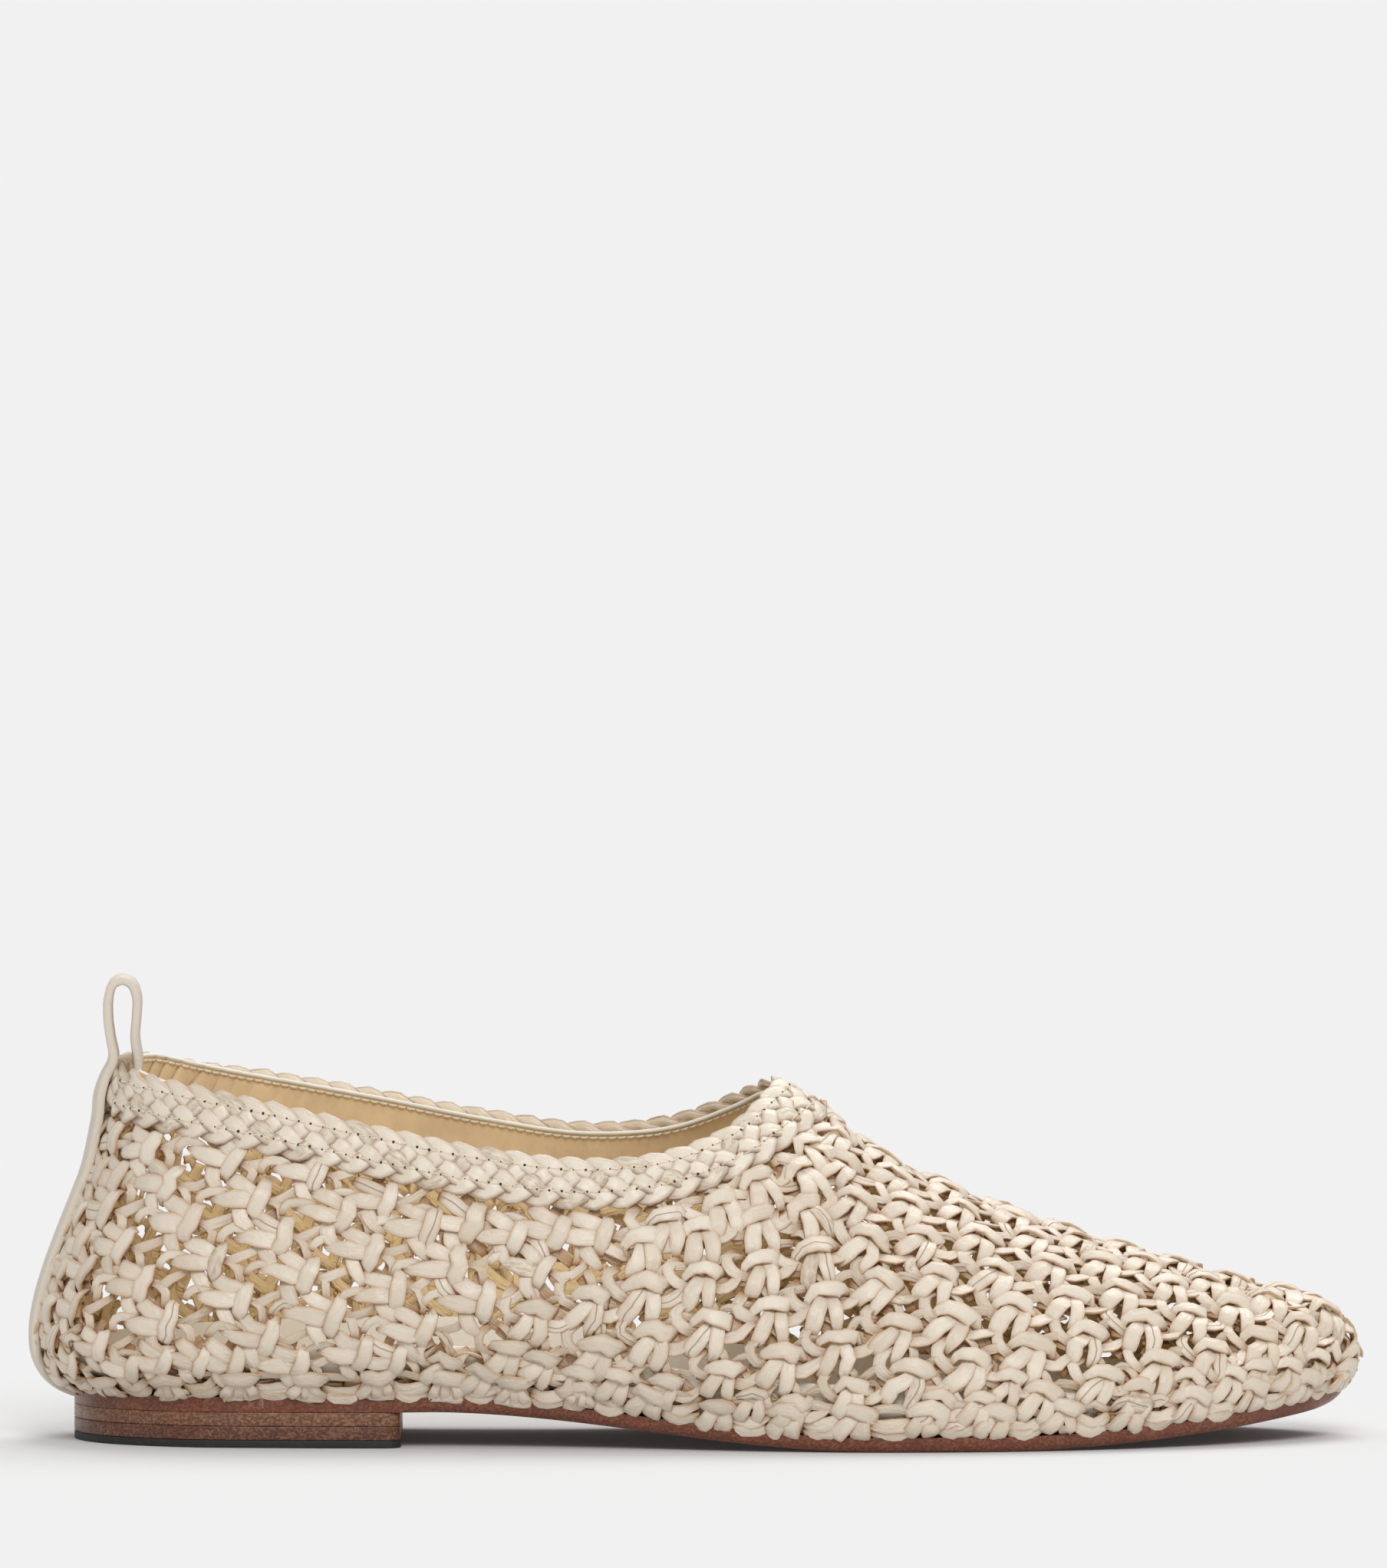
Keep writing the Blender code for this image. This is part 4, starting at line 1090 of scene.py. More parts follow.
class LiningSettings(bpy.types.PropertyGroup):
    """Size and colours of the band that lines the collar."""

    height: FloatProperty(
        name="Height", description="Height of the lining band", default=7.2 * MM, min=5.0 * MM,
        max=30.0 * MM, unit="LENGTH")
    thickness: FloatProperty(
        name="Thickness", description="How thick the lining is", default=0.6 * MM, min=0.2 * MM,
        max=1.0 * MM, unit="LENGTH")
    colour: FloatVectorProperty(
        name="Lining", description="Colour of the lining", subtype="COLOR", default=srgb(250, 220, 174),
        min=0.0, max=1.0)
    edge_colour: FloatVectorProperty(
        name="Raw edge", description="Colour of the lining's cut edge", subtype="COLOR",
        default=srgb(246, 243, 231), min=0.0, max=1.0)


class StripSettings(bpy.types.PropertyGroup):
    """Sizes and colour of the heel strip and pull loop."""

    rounding: FloatProperty(
        name="Rounding", description="Rounding of the strip's edges", default=0.6 * MM, min=0.1 * MM,
        max=0.8 * MM, unit="LENGTH")
    colour: FloatVectorProperty(
        name="Leather", description="Colour of the strip", subtype="COLOR", default=srgb(227, 216, 200),
        min=0.0, max=1.0)


class SoleSettings(bpy.types.PropertyGroup):
    """Sizes and colours of the insole, the sole and the heel."""

    rounding: FloatProperty(
        name="Rounding", description="Rounding of the sole's edge", default=1.6 * MM, min=0.1 * MM,
        max=2.4 * MM, unit="LENGTH")
    insole_colour: FloatVectorProperty(
        name="Insole", description="Colour of the insole", subtype="COLOR", default=srgb(238, 226, 206),
        min=0.0, max=1.0)
    # The border's colour is the insole's leather made paler: painted light, for the light that falls on it
    # inside the shoe
    border_painted_light_colour: FloatVectorProperty(
        name="Insole border", description="Colour of the upright border", subtype="COLOR",
        default=srgb(255, 251, 240), min=0.0, max=1.0)
    sole_colour: FloatVectorProperty(
        name="Sole edge", description="Colour of the sole's edge", subtype="COLOR",
        default=srgb(112, 55, 34), min=0.0, max=1.0)
    lift_colour: FloatVectorProperty(
        name="Upper lift", description="Colour of the heel's upper lift", subtype="COLOR",
        default=srgb(114, 73, 51), min=0.0, max=1.0)
    lower_colour: FloatVectorProperty(
        name="Lower lift", description="Colour of the heel's lower lift", subtype="COLOR",
        default=srgb(92, 51, 40), min=0.0, max=1.0)
    grain_colour: FloatVectorProperty(
        name="Grains", description="Colour of the pale fibres in the cut edges", subtype="COLOR",
        default=srgb(176, 130, 97), min=0.0, max=1.0)
    rubber_colour: FloatVectorProperty(
        name="Rubber", description="Colour of the heel's top piece", subtype="COLOR",
        default=srgb(36, 34, 34), min=0.0, max=1.0)


class StageSettings(bpy.types.PropertyGroup):
    """Floor, light and camera."""

    floor_colour: FloatVectorProperty(
        name="Floor", description="Colour of the floor", subtype="COLOR", default=(0.727, 0.727, 0.727),
        min=0.0, max=1.0)
    # Painted light: the floor glows a little of itself, which lightens the shadows on it
    floor_glow: FloatProperty(
        name="Floor glow", description="Light that comes through the floor from below", default=0.02,
        min=0.0)
    sky: FloatProperty(
        name="Sky light", description="Strength of the light from all round", default=0.3, min=0.0)
    key: FloatProperty(
        name="Key light", description="Strength of the soft light from above", default=1.36, min=0.0)
    back: FloatProperty(
        name="Back light", description="Strength of the wide light from behind", default=0.8, min=0.0)
    fill: FloatProperty(
        name="Fill light", description="Strength of the light from the front", default=1.5, min=0.0)
    distance: FloatProperty(
        name="Camera distance", description="How far the camera stands from the shoe", default=5.0, min=1.0,
        unit="LENGTH")
    elevation: FloatProperty(
        name="Elevation", description="How far the camera looks down", default=math.radians(2.9),
        subtype="ANGLE", unit="ROTATION")
    frame_height: FloatProperty(
        name="Frame height", description="Height that the picture covers at the shoe", default=293.7 * MM,
        min=0.1, unit="LENGTH")


# Pieces

def stitch_frames(wall, side, share, height, across):
    """At each stitch the wall's toeward and upward directions, the first turned up by the angle across."""
    fore = unit(wall.read(wall.fore, side, share, height))
    normal = unit(wall.read(wall.normals, side, share, height))
    up = np.cross(normal, fore)
    turn = across[:, None]
    toeward = fore * np.cos(turn) + up * np.sin(turn)
    return toeward, np.cross(normal, toeward), normal


def pick(chosen, *columns):
    """The chosen rows of several columns."""
    return [column[chosen] for column in columns]


def chart(start, steps):
    """Places of a stitch chart, along and across, from its start and the steps to the next two stitches."""
    i, j = (grid.ravel() for grid in np.meshgrid(CHART_STEPS, CHART_STEPS))
    return [start[k] + i * steps[0][k] + j * steps[1][k] for k in (0, 1)]


def quarter_places(wall, side):
    """Stitches of one quarter, charted along the topline and down from it."""
    reach, fall = chart(QUARTER_START, QUARTER_STEPS)
    share = reach / COLLAR_LENGTH[SIDES[side]] * THROAT_SHARE
    share, fall = pick((share > QUARTER_SHARES[0]) & (share < QUARTER_SHARES[1]), share, fall)
    length = wall.column_length(side, share)
    height = 1 - fall / length
    return pick((fall > HIGHEST_STITCH) & (height * length > LOWEST_STITCH), share, height)


def vamp_places(wall):
    """Stitches of the vamp, charted along the sole's edge and over the ridge."""
    reach, girth = chart(VAMP_START, VAMP_STEPS)
    share = reach / SOLE_LENGTH[LATERAL]
    share, girth = pick((share > VAMP_SHARES[0]) & (share < VAMP_SHARES[1]), share, girth)
    side = (girth > 0).astype(int)
    length = wall.column_length(side, share)
    behind = np.maximum(THROAT_SHARE - share, 0) * SOLE_LENGTH[LATERAL] * RIDGE_FALL
    to_throat = wall.column_length(side, np.full_like(share, THROAT_SHARE)) + behind
    full = np.where(share < THROAT_SHARE, to_throat, length)
    height = (full - np.abs(girth)) / length
    below_plait = (height < 1 - HIGHEST_STITCH / length) | (share > THROAT_SHARE)
    return pick((height * length > LOWEST_STITCH) & below_plait, side, share, height)


def past_panel_line(points):
    """How far points lie in front of the line where the stitches turn."""
    return points[:, 0] - PANEL_LINE.x - PANEL_LINE.slope * (points[:, 2] - PANEL_LINE.height)


def spaced(points, taken, clearance):
    """Which of the points keep clear of those taken and of each other, first come first served."""
    kept, held = [], list(taken)
    for index, point in enumerate(points):
        if not held or np.linalg.norm(np.array(held) - point, axis=1).min() > clearance[index]:
            kept.append(index)
            held.append(point)
    return np.array(kept, int)


def fill_places(wall):
    """Places all over the wall, close together, for stitches where the charts leave a hole."""
    columns, rows = np.linspace(*FILL_SHARES, FILL_COLUMNS), np.linspace(*FILL_HEIGHTS, FILL_ROWS)
    share, height = (grid.ravel() for grid in np.meshgrid(columns, rows))
    side = np.repeat([0, 1], len(share))
    share, height = np.tile(share, 2), np.tile(height, 2)
    length = wall.column_length(side, share)
    inside = (height * length > FILL_LOWEST) & ((1 - height) * length > FILL_HIGHEST)
    side, share, height, length = pick(inside, side, share, height, length)
    seam = ((1 - height) * length < SEAM_REACH) & (share < THROAT_SHARE)
    clearance = np.full(len(share), FILL_CLEARANCE)
    clearance[share > TOE_REACH] = TOE_CLEARANCE
    clearance[height * length < LOW_REACH] = LOW_CLEARANCE
    clearance[seam] = SEAM_CLEARANCE
    clearance[seam & (share > THROAT_REACH)] = THROAT_CLEARANCE
    clearance[share < HEEL_REACH] = HEEL_CLEARANCE
    return side, share, height, clearance


def vamp_frames(wall, side, share, height, rng):
    """Directions of vamp stitches, which lean more the higher they lie."""
    lean = np.radians(VAMP_LEAN[0] + VAMP_LEAN[1] * height) + rng.normal(0, UNEVEN_TURN, len(side))
    return stitch_frames(wall, side, share, height, lean)[:2]


def quarter_frames(wall, side, share, height, rng):
    """Directions of quarter stitches, which lie level."""
    _, _, normal = stitch_frames(wall, side, share, height, np.zeros(len(side)))
    facing = np.where(side == 0, 1, -1)[:, None]
    toeward = unit(np.cross(np.array([0.0, 0.0, 1.0]), normal) * facing)
    up = np.cross(normal, toeward) * facing
    turn = rng.normal(0, UNEVEN_TURN, (len(side), 1))
    return toeward * np.cos(turn) + up * np.sin(turn), up * np.cos(turn) - toeward * np.sin(turn)


def toe_bulge(points):
    """How much further out the weave lies where the toe is stuffed full."""
    fore = np.clip((points[..., 0] - TOE_BULGE_START) / TOE_BULGE_RUN, 0, 1)
    level = np.clip(1 - np.abs(points[..., 2] - TOE_BULGE_HEIGHT) / TOE_BULGE_REACH, 0, 1)
    return TOE_BULGE * fore * level * level * (3 - 2 * level)


def lay_stitches(wall, stitch, side, share, height, toeward, up, size, settings, rng):
    """Strands of many like stitches on the wall: rings of points, widths, painted shade by closeness to an
    end, and seeds.
    """
    count = len(share)
    everything = []
    centre, facing = wall.place(side, share, height)
    for strand in stitch:
        knots = np.array(strand.path)
        moved = rng.normal(0, settings.unevenness / MM, (count, len(knots), 2))
        flat = knots[None, :, :2] * size[:, None, None] + moved
        raised = knots[None, :, 2] + rng.normal(0, UNEVEN_HEIGHT, (count, len(knots)))
        spread = centre[:, None] + flat[..., :1] * toeward[:, None] + flat[..., 1:] * up[:, None]
        weights = between(strand.path, STRAND_RINGS)
        points, normals, past = wall.drape(weights @ spread, facing[:, None])
        out = raised @ weights.T
        reach = np.linalg.norm(past, axis=-1)
        under_collar = (past[..., 2] > 0) & (reach > UNDER_COLLAR)
        tucked = past * np.minimum(1, COLLAR_TUCK / np.maximum(reach, 0.001))[..., None]
        points = points + np.where(under_collar[..., None], tucked, 0)
        points[..., 2] += SOLE_OVERLAP * np.tanh(np.minimum(past[..., 2], 0) / SOLE_OVERLAP)
        out = out + toe_bulge(points)
        out = np.where(under_collar, np.minimum(out, 0.0) - COLLAR_SINK, out)
        points = points + normals * out[..., None]
        vary = rng.normal(1, UNEVEN_WIDTH, (count, 1))
        widths = (weights @ np.array(strand.widths))[None] * vary * settings.width_share * size[:, None]
        thickness = settings.thickness / MM * np.clip(widths / FULL_WIDTH, *THICKNESS_RANGE)
        turned = np.interp(height, *zip(*VAMP_ROLL)) if stitch is VAMP_STITCH else np.ones(count)
        roll = strand.roll * turned[:, None] + rng.normal(0, UNEVEN_ROLL, (count, 1))
        roll = np.repeat(roll, STRAND_RINGS, 1)
        rings = strand_rings(points, normals, widths, thickness, roll, STRAND_SECTION)
        # Painted shade: darker towards a strand's ends and where it lies deep below the others
        way = np.abs(np.linspace(-1, 1, STRAND_RINGS)) ** END_POWER
        sunk = np.clip((SUNK_LEVEL - out) / SUNK_DEPTH, 0, 1)
        ends = np.clip(END_SHADE * way[None] + SUNK_SHADE * sunk, 0, 1)
        everything.append((rings, widths, ends, rng.random(count)))
    return [np.concatenate(parts) for parts in zip(*everything)]


class FLAT_OT_weave(bpy.types.Operator):
    """Lay the woven upper strand by strand: the quarters, the vamp and the row along the sole"""

    bl_idname = "ballet_flat.weave"
    bl_label = "Woven Upper"

    def execute(self, context):
        settings = context.scene.flat_weave
        rng = np.random.default_rng(settings.seed)
        wall = WALL_SURFACE
        material = strand_material("woven_strands", settings, WEAVE_CREASES)
        quarters, vamp, edge = [], [], []

        def lay(stitch, frames, side, share, height, into):
            toeward, up = frames(wall, side, share, height, rng)
            low = height * wall.column_length(side, share) < LOW_REACH
            size = rng.normal(1, UNEVEN_SIZE, len(side)) * np.where(low, LOW_SIZE, 1)
            into.append(lay_stitches(wall, stitch, side, share, height, toeward, up, size, settings, rng))

        places = vamp_places(wall)
        places = pick(np.argsort(places[0], kind="stable"), *places)
        points, _ = wall.place(*places)
        *places, points = pick(past_panel_line(points) > 0, *places, points)
        keep = spaced(points, [], np.full(len(points), STITCH_CLEARANCE))
        taken = points[keep]
        lay(VAMP_STITCH, vamp_frames, *pick(keep, *places), vamp)
        for this in (0, 1):
            share, height = quarter_places(wall, this)
            places = np.full(len(share), this), share, height
            points, _ = wall.place(*places)
            *places, points = pick(past_panel_line(points) < PANEL_LAP, *places, points)
            keep = spaced(points, taken, np.full(len(points), STITCH_CLEARANCE))
            taken = np.concatenate([taken, points[keep]])
            lay(QUARTER_STITCH, quarter_frames, *pick(keep, *places), quarters)
        *places, clearance = fill_places(wall)
        points, _ = wall.place(*places)
        keep = spaced(points, taken, clearance)
        side, share, height, points = pick(keep, *places, points)
        front = past_panel_line(points) > 0
        low = height * wall.column_length(side, share) < LOW_REACH
        for stitch, frames, chosen, into in (
            (VAMP_STITCH, vamp_frames, front & ~low, vamp),
            (VAMP_STITCH, vamp_frames, front & low, edge),
            (QUARTER_STITCH, quarter_frames, ~front & ~low, quarters),
            (QUARTER_STITCH, quarter_frames, ~front & low, edge),
        ):
            lay(stitch, frames, *pick(chosen, side, share, height), into)
        for this in (0, 1):
            edge.extend(self.sole_row(wall, this, settings, rng))
        for name, laid in (("woven_quarters", quarters), ("woven_vamp", vamp), ("woven_edge", edge)):
            rings, widths, ends, seeds = (np.concatenate(parts) for parts in zip(*laid))
            mesh = strand_mesh(name, rings, widths, ends, seeds, crisp=True)
            link_piece(name, mesh, material, "upper", "woven_leather")
        return {"FINISHED"}

    def sole_row(self, wall, this, settings, rng):
        """The row along one side of the sole: skirts behind, feet from the waist on."""
        count = int(SOLE_LENGTH[SIDES[this]] / EDGE_PITCH)
        share = (np.arange(count) + 0.5) / count
        side = np.full(count, this)
        height = EDGE_HEIGHT / wall.column_length(side, share) * rng.normal(1, EDGE_UNEVEN_HEIGHT, count)
        turn = rng.normal(0, EDGE_UNEVEN_TURN, count)
        toeward, up, _ = stitch_frames(wall, side, share, height, turn)
        up = up if this == 0 else -up
        size = rng.normal(1, EDGE_UNEVEN_SIZE, count)
        front = share > FOOT_START
        for stitch, chosen in ((SKIRT_STITCH, ~front), (FOOT_STITCH, front)):
            columns = pick(chosen, side, share, height, toeward, up, size)
            yield lay_stitches(wall, stitch, *columns, settings, rng)


def plait_band(side, share, down_share, out):
    """Points of the collar band and its normals: down_share is 0 at the topline and 1 at the lower edge."""
    top, down, normal = collar_edges(side, share)
    crown = COLLAR_CROWN * 4 * down_share * (1 - down_share)
    return top + down * down_share[:, None] + normal * (crown + out)[:, None], normal


# The plait: how far its strands stay inside the band, rise and sink, and where each turns back
PLAIT_STRANDS = 5
CROSSING = 1 / PLAIT_STRANDS
PLAIT_INSET = 0.085
PLAIT_LIFT = 0.62
PLAIT_DEPTH = 0.2
PLAIT_FALL = 0.6
PLAIT_RING = 1.1
PLAIT_END = 0.05
PLAIT_SEED = 11
PLAIT_UNEVEN = 0.006
PLAIT_UNEVEN_ROLL = 3
PLAIT_SWELL = 0.08
# Painted shade on the plait's strands: none where a strand rides high, more the deeper it passes under the
# others
PLAIT_SHADE = (0.1, 0.7)
PLAIT_TINTS = 0.6
PLAIT_CREASES = 1.3


def around_collar(distance):
    """Side and share of the way to the throat, for distances round the topline from the heel."""
    lateral = distance <= COLLAR_LENGTH[LATERAL]
    back = COLLAR_ROUND - distance
    return lateral, np.where(lateral, distance / COLLAR_LENGTH[LATERAL], back / COLLAR_LENGTH[MEDIAL])


def by_side(lateral, read):
    """Points and normals from read(side, chosen rows), each side's own put back in their order."""
    points, normals = np.zeros((len(lateral), 3)), np.zeros((len(lateral), 3))
    for side, chosen in ((LATERAL, lateral), (MEDIAL, ~lateral)):
        if chosen.any():
            points[chosen], normals[chosen] = read(side, chosen)
    return points, normals


def on_collar(distance, down_share, out):
    """Points and normals of the collar band at distances round the topline."""
    lateral, share = around_collar(distance)
    return by_side(lateral, lambda side, chosen: plait_band(side, *pick(chosen, share, down_share, out)))


def plait_height(step):
    """How a strand rises and falls on its way across: over the first and third it meets, under the others."""
    middle = np.cos(math.pi / CROSSING * (step - CROSSING))
    first = np.sin(math.pi / 2 * step / CROSSING)
    last = -np.cos(math.pi / 2 * (step - (1 - CROSSING)) / CROSSING)
    return np.where(step < CROSSING, first, np.where(step > 1 - CROSSING, last, middle))


class FLAT_OT_plait(bpy.types.Operator):
    """Plait the collar's band from five strands, over one and under one"""

    bl_idname = "ballet_flat.plait"
    bl_label = "Collar Plait"

    def execute(self, context):
        settings = context.scene.flat_plait
        rng = np.random.default_rng(PLAIT_SEED)
        wave = settings.pitch / MM * PLAIT_STRANDS
        rings = int(COLLAR_ROUND / PLAIT_RING)
        distance = np.linspace(PLAIT_END, COLLAR_ROUND - PLAIT_END, rings)
        laid = []
        for strand in range(PLAIT_STRANDS):
            phase = (distance / wave + strand / PLAIT_STRANDS) % 1
            falling = phase < PLAIT_FALL
            step = np.where(falling, phase / PLAIT_FALL, (phase - PLAIT_FALL) / (1 - PLAIT_FALL))
            going = np.where(falling, step, 1 - step)
            eased = 0.5 - 0.5 * np.cos(math.pi * going)
            across = 0.5 * going + 0.5 * eased
            over = PLAIT_LIFT * plait_height(step)
            down_share = PLAIT_INSET + (1 - 2 * PLAIT_INSET) * across + rng.normal(0, PLAIT_UNEVEN, rings)
            points, normals = on_collar(distance, down_share, over - PLAIT_DEPTH)
            laid.append((points, normals, over))
        points, normals, over = (np.stack(parts) for parts in zip(*laid))
        widths = settings.strand_width / MM * (1 + PLAIT_SWELL * over / PLAIT_LIFT)
        thickness = np.full(points.shape[:2], settings.strand_thickness / MM)
        roll = rng.normal(0, PLAIT_UNEVEN_ROLL, points.shape[:2])
        shape = strand_rings(points, normals, widths, thickness, roll, STRAND_SECTION)
        # Painted shade where a strand passes under the others
        ends = np.clip(PLAIT_SHADE[0] - PLAIT_SHADE[1] * over / PLAIT_LIFT, 0, 1)
        seeds = rng.random(PLAIT_STRANDS) * PLAIT_TINTS
        mesh = strand_mesh("collar_plait_strands", shape, widths, ends, seeds)
        material = strand_material("plait_strands", settings, PLAIT_CREASES)
        link_piece("collar_plait_strands", mesh, material, "collar_plait", "woven_leather")
        return {"FINISHED"}


# The plait's two lines of stitches: where they run, which part of a stitch shows, and how the thread rises
# from one hole and sinks into the next
STITCH_LINES = (0.24, 0.72)
STITCH_MARGIN = 8
STITCH_SPAN = (0.08, 0.92)
STITCH_SEARCH = 4.0
THREAD_RINGS = 5
THREAD_PROFILE = np.array([-0.16, 0.04, 0.09, 0.04, -0.16])
THREAD_SHADE = (228, 206, 172)
# The needle holes are dark discs of painted shade: their seed, sizes, radii, depth and lift off the plait
HOLE_SEED = 5
HOLE_SIZES = (0.5, 1.25)
HOLE_RADII = (0.08, 0.25)
HOLE_DEPTH = 0.05
HOLE_LIFT = 0.03


class FLAT_OT_stitching(bpy.types.Operator):
    """Sew two lines of machine stitches along the plait, with painted shade for their needle holes"""

    bl_idname = "ballet_flat.stitching"
    bl_label = "Collar Stitching"

    def execute(self, context):
        settings = context.scene.flat_plait
        plait = bpy.data.objects["collar_plait_strands"]
        tree = BVHTree.FromPolygons(
            [v.co for v in plait.data.vertices], [p.vertices[:] for p in plait.data.polygons])
        step = settings.stitch / MM
        count = int((COLLAR_ROUND - 2 * STITCH_MARGIN) / step)
        rows, faces = [], []
        for line in STITCH_LINES:
            for start in STITCH_MARGIN + step * np.arange(count):
                row, face = self.on_plait(tree, start + step * np.linspace(*STITCH_SPAN, THREAD_RINGS), line)
                rows.append(row)
                faces.append(face)
        rows, faces = np.array(rows), np.array(faces)
        threads = rows + faces * THREAD_PROFILE[:, None]
        thickness = settings.thread / MM
        mesh = round_strands("collar_threads", threads, faces, thickness, thickness)
        link_piece("collar_threads", mesh, self.thread(settings), "collar_plait", "woven_leather")
        self.needle_holes(rows[:, 0] + faces[:, 0] * HOLE_LIFT, faces[:, 0])
        return {"FINISHED"}

    def on_plait(self, tree, at, line):
        """Where a stitch meets the plait's strands, and which way they face there."""
        points, normals = on_collar(at, np.full(len(at), line), np.full(len(at), STITCH_SEARCH))
        row, face = [], []
        for point, normal in zip(to_frame(points), normals):
            hit, facing, _, _ = tree.ray_cast(Vector(point), -Vector(normal), 2 * STITCH_SEARCH * MM)
            if hit is None:
                raise RuntimeError(f"no plait under the stitch at {at[0]:.1f} mm")
            row.append(np.array(hit) / MM + FRAME_ORIGIN)
            face.append(np.array(facing))
        return row, face

    def thread(self, settings):
        """Twisted cream sewing thread."""
        material, n, shader = principled("sewing_thread")
        twist = n.noise(n.scaled(n.attribute("strand_place", "Vector"), (9.0, 5.0, 40.0)), 1.0, 2.0)
        colour = n.mix(n.ramp(twist, 0.3, 0.7), srgb(*THREAD_SHADE), settings.thread_colour)
        n.put(shader.inputs["Base Color"], colour)
        n.put(shader.inputs["Normal"], n.bump(twist, 0.08))
        shader.inputs["Roughness"].default_value = 0.7
        return material

    def needle_holes(self, places, faces):
        """Painted shade for the needle holes: small dark discs on the plait where the needle went through."""
        bm = bmesh.new()
        sizes = np.random.default_rng(HOLE_SEED).uniform(*HOLE_SIZES, len(places)) * MM
        for place, face, size in zip(to_frame(places), faces, sizes):
            turn = Vector(face).to_track_quat("Z", "Y").to_matrix().to_4x4()
            turn.translation = Vector(place)
            bmesh.ops.create_cone(
                bm, cap_ends=True, cap_tris=True, segments=8, radius1=HOLE_RADII[0] * size,
                radius2=HOLE_RADII[1] * size, depth=HOLE_DEPTH * MM, matrix=turn)
        mesh = finished_mesh("collar_needle_holes", bm)
        material, n, shader = principled("needle_hole")
        # Painted shade: the discs vary between two dark browns
        dust_and_hole_shade = n.ramp(n.noise(n.object_coordinates(), 3000.0, 2.0), 0.3, 0.8)
        n.put(shader.inputs["Base Color"], n.mix(dust_and_hole_shade, srgb(58, 42, 30), srgb(96, 72, 50)))
        shader.inputs["Roughness"].default_value = 0.9
        link_piece("collar_needle_holes", mesh, material, "collar_plait", "woven_leather")


# The lining: how far it lies behind the collar's face, and how far its edge lies below the topline by the way
# round from the heel
LINING_BACK = 1.75
LINING_TOPS = {
    LATERAL: ((0.0, -0.3), (12.0, 0.0), (30.0, 0.35), (48.0, 0.5), (400.0, 0.5)),
    MEDIAL: (
        (0.0, -0.3), (5.0, -0.5), (10.0, -0.68), (15.0, -0.76), (20.0, -0.74), (27.0, -0.55), (34.0, -0.2),
        (41.0, 0.05), (54.0, 0.15), (90.0, 0.5),
    ),
}
LINING_COLUMNS, LINING_ROWS = 900, 14
LINING_ROUNDING = 0.1
RAW_EDGE_WIDTH = 0.75
RAW_EDGE_THICKNESS = 0.8
RAW_EDGE_FALL = 0.1
RAW_EDGE_END = 0.5
LINING_STITCH = 1.75
LINING_STITCH_DROP = 1.0
LINING_STITCH_SLANT = 0.12
LINING_STITCH_SPAN = (0.04, 0.96)
LINING_STITCH_MARGIN = 9.0
LINING_THREAD = 0.52
LINING_THREAD_PROFILE = np.array([-0.05, 0.18, 0.26, 0.18, -0.05])

# The lining's puffs between upright creases, which fade out away from the heel
RIPPLE_REACH = 38.0
RIPPLE_HEIGHT = 0.6
RIPPLE_LENGTH = 4.2
RIPPLE_LEAN = 0.5
RIPPLE_WANDER, WANDER_PACE = 0.5, 0.4
RIPPLE_POWER = 0.5
# How far below the lining's edge the painted shade in its creases takes its full strength
CREASE_START = 1.5


def lining_panels(distance, fall):
    """The way round from the heel, how strongly the lining puffs there, and the puffs: 0 in a crease."""
    from_heel = np.minimum(distance, COLLAR_ROUND - distance)
    fade = np.exp(-((from_heel / RIPPLE_REACH) ** 2))
    wander = RIPPLE_WANDER * np.sin(from_heel * WANDER_PACE)
    wave = np.sin((from_heel + RIPPLE_LEAN * fall) * math.pi / RIPPLE_LENGTH + wander)
    return from_heel, fade, np.abs(wave) ** RIPPLE_POWER


def lining_points(distance, fall, back):
    """Points and normals behind the collar, this far round, below the lining's edge and inside."""
    lateral, share = around_collar(distance)
    from_heel, fade, panels = lining_panels(distance, fall)
    tops = {side: np.interp(from_heel, *zip(*rows)) for side, rows in LINING_TOPS.items()}
    fall = fall + np.where(lateral, tops[LATERAL], tops[MEDIAL])

    def behind(side, chosen):
        top, down, normal = collar_edges(side, share[chosen])
        return top + unit(down) * fall[chosen, None], normal

    points, normals = by_side(lateral, behind)
    return points - normals * (back + RIPPLE_HEIGHT * fade * panels)[:, None], normals


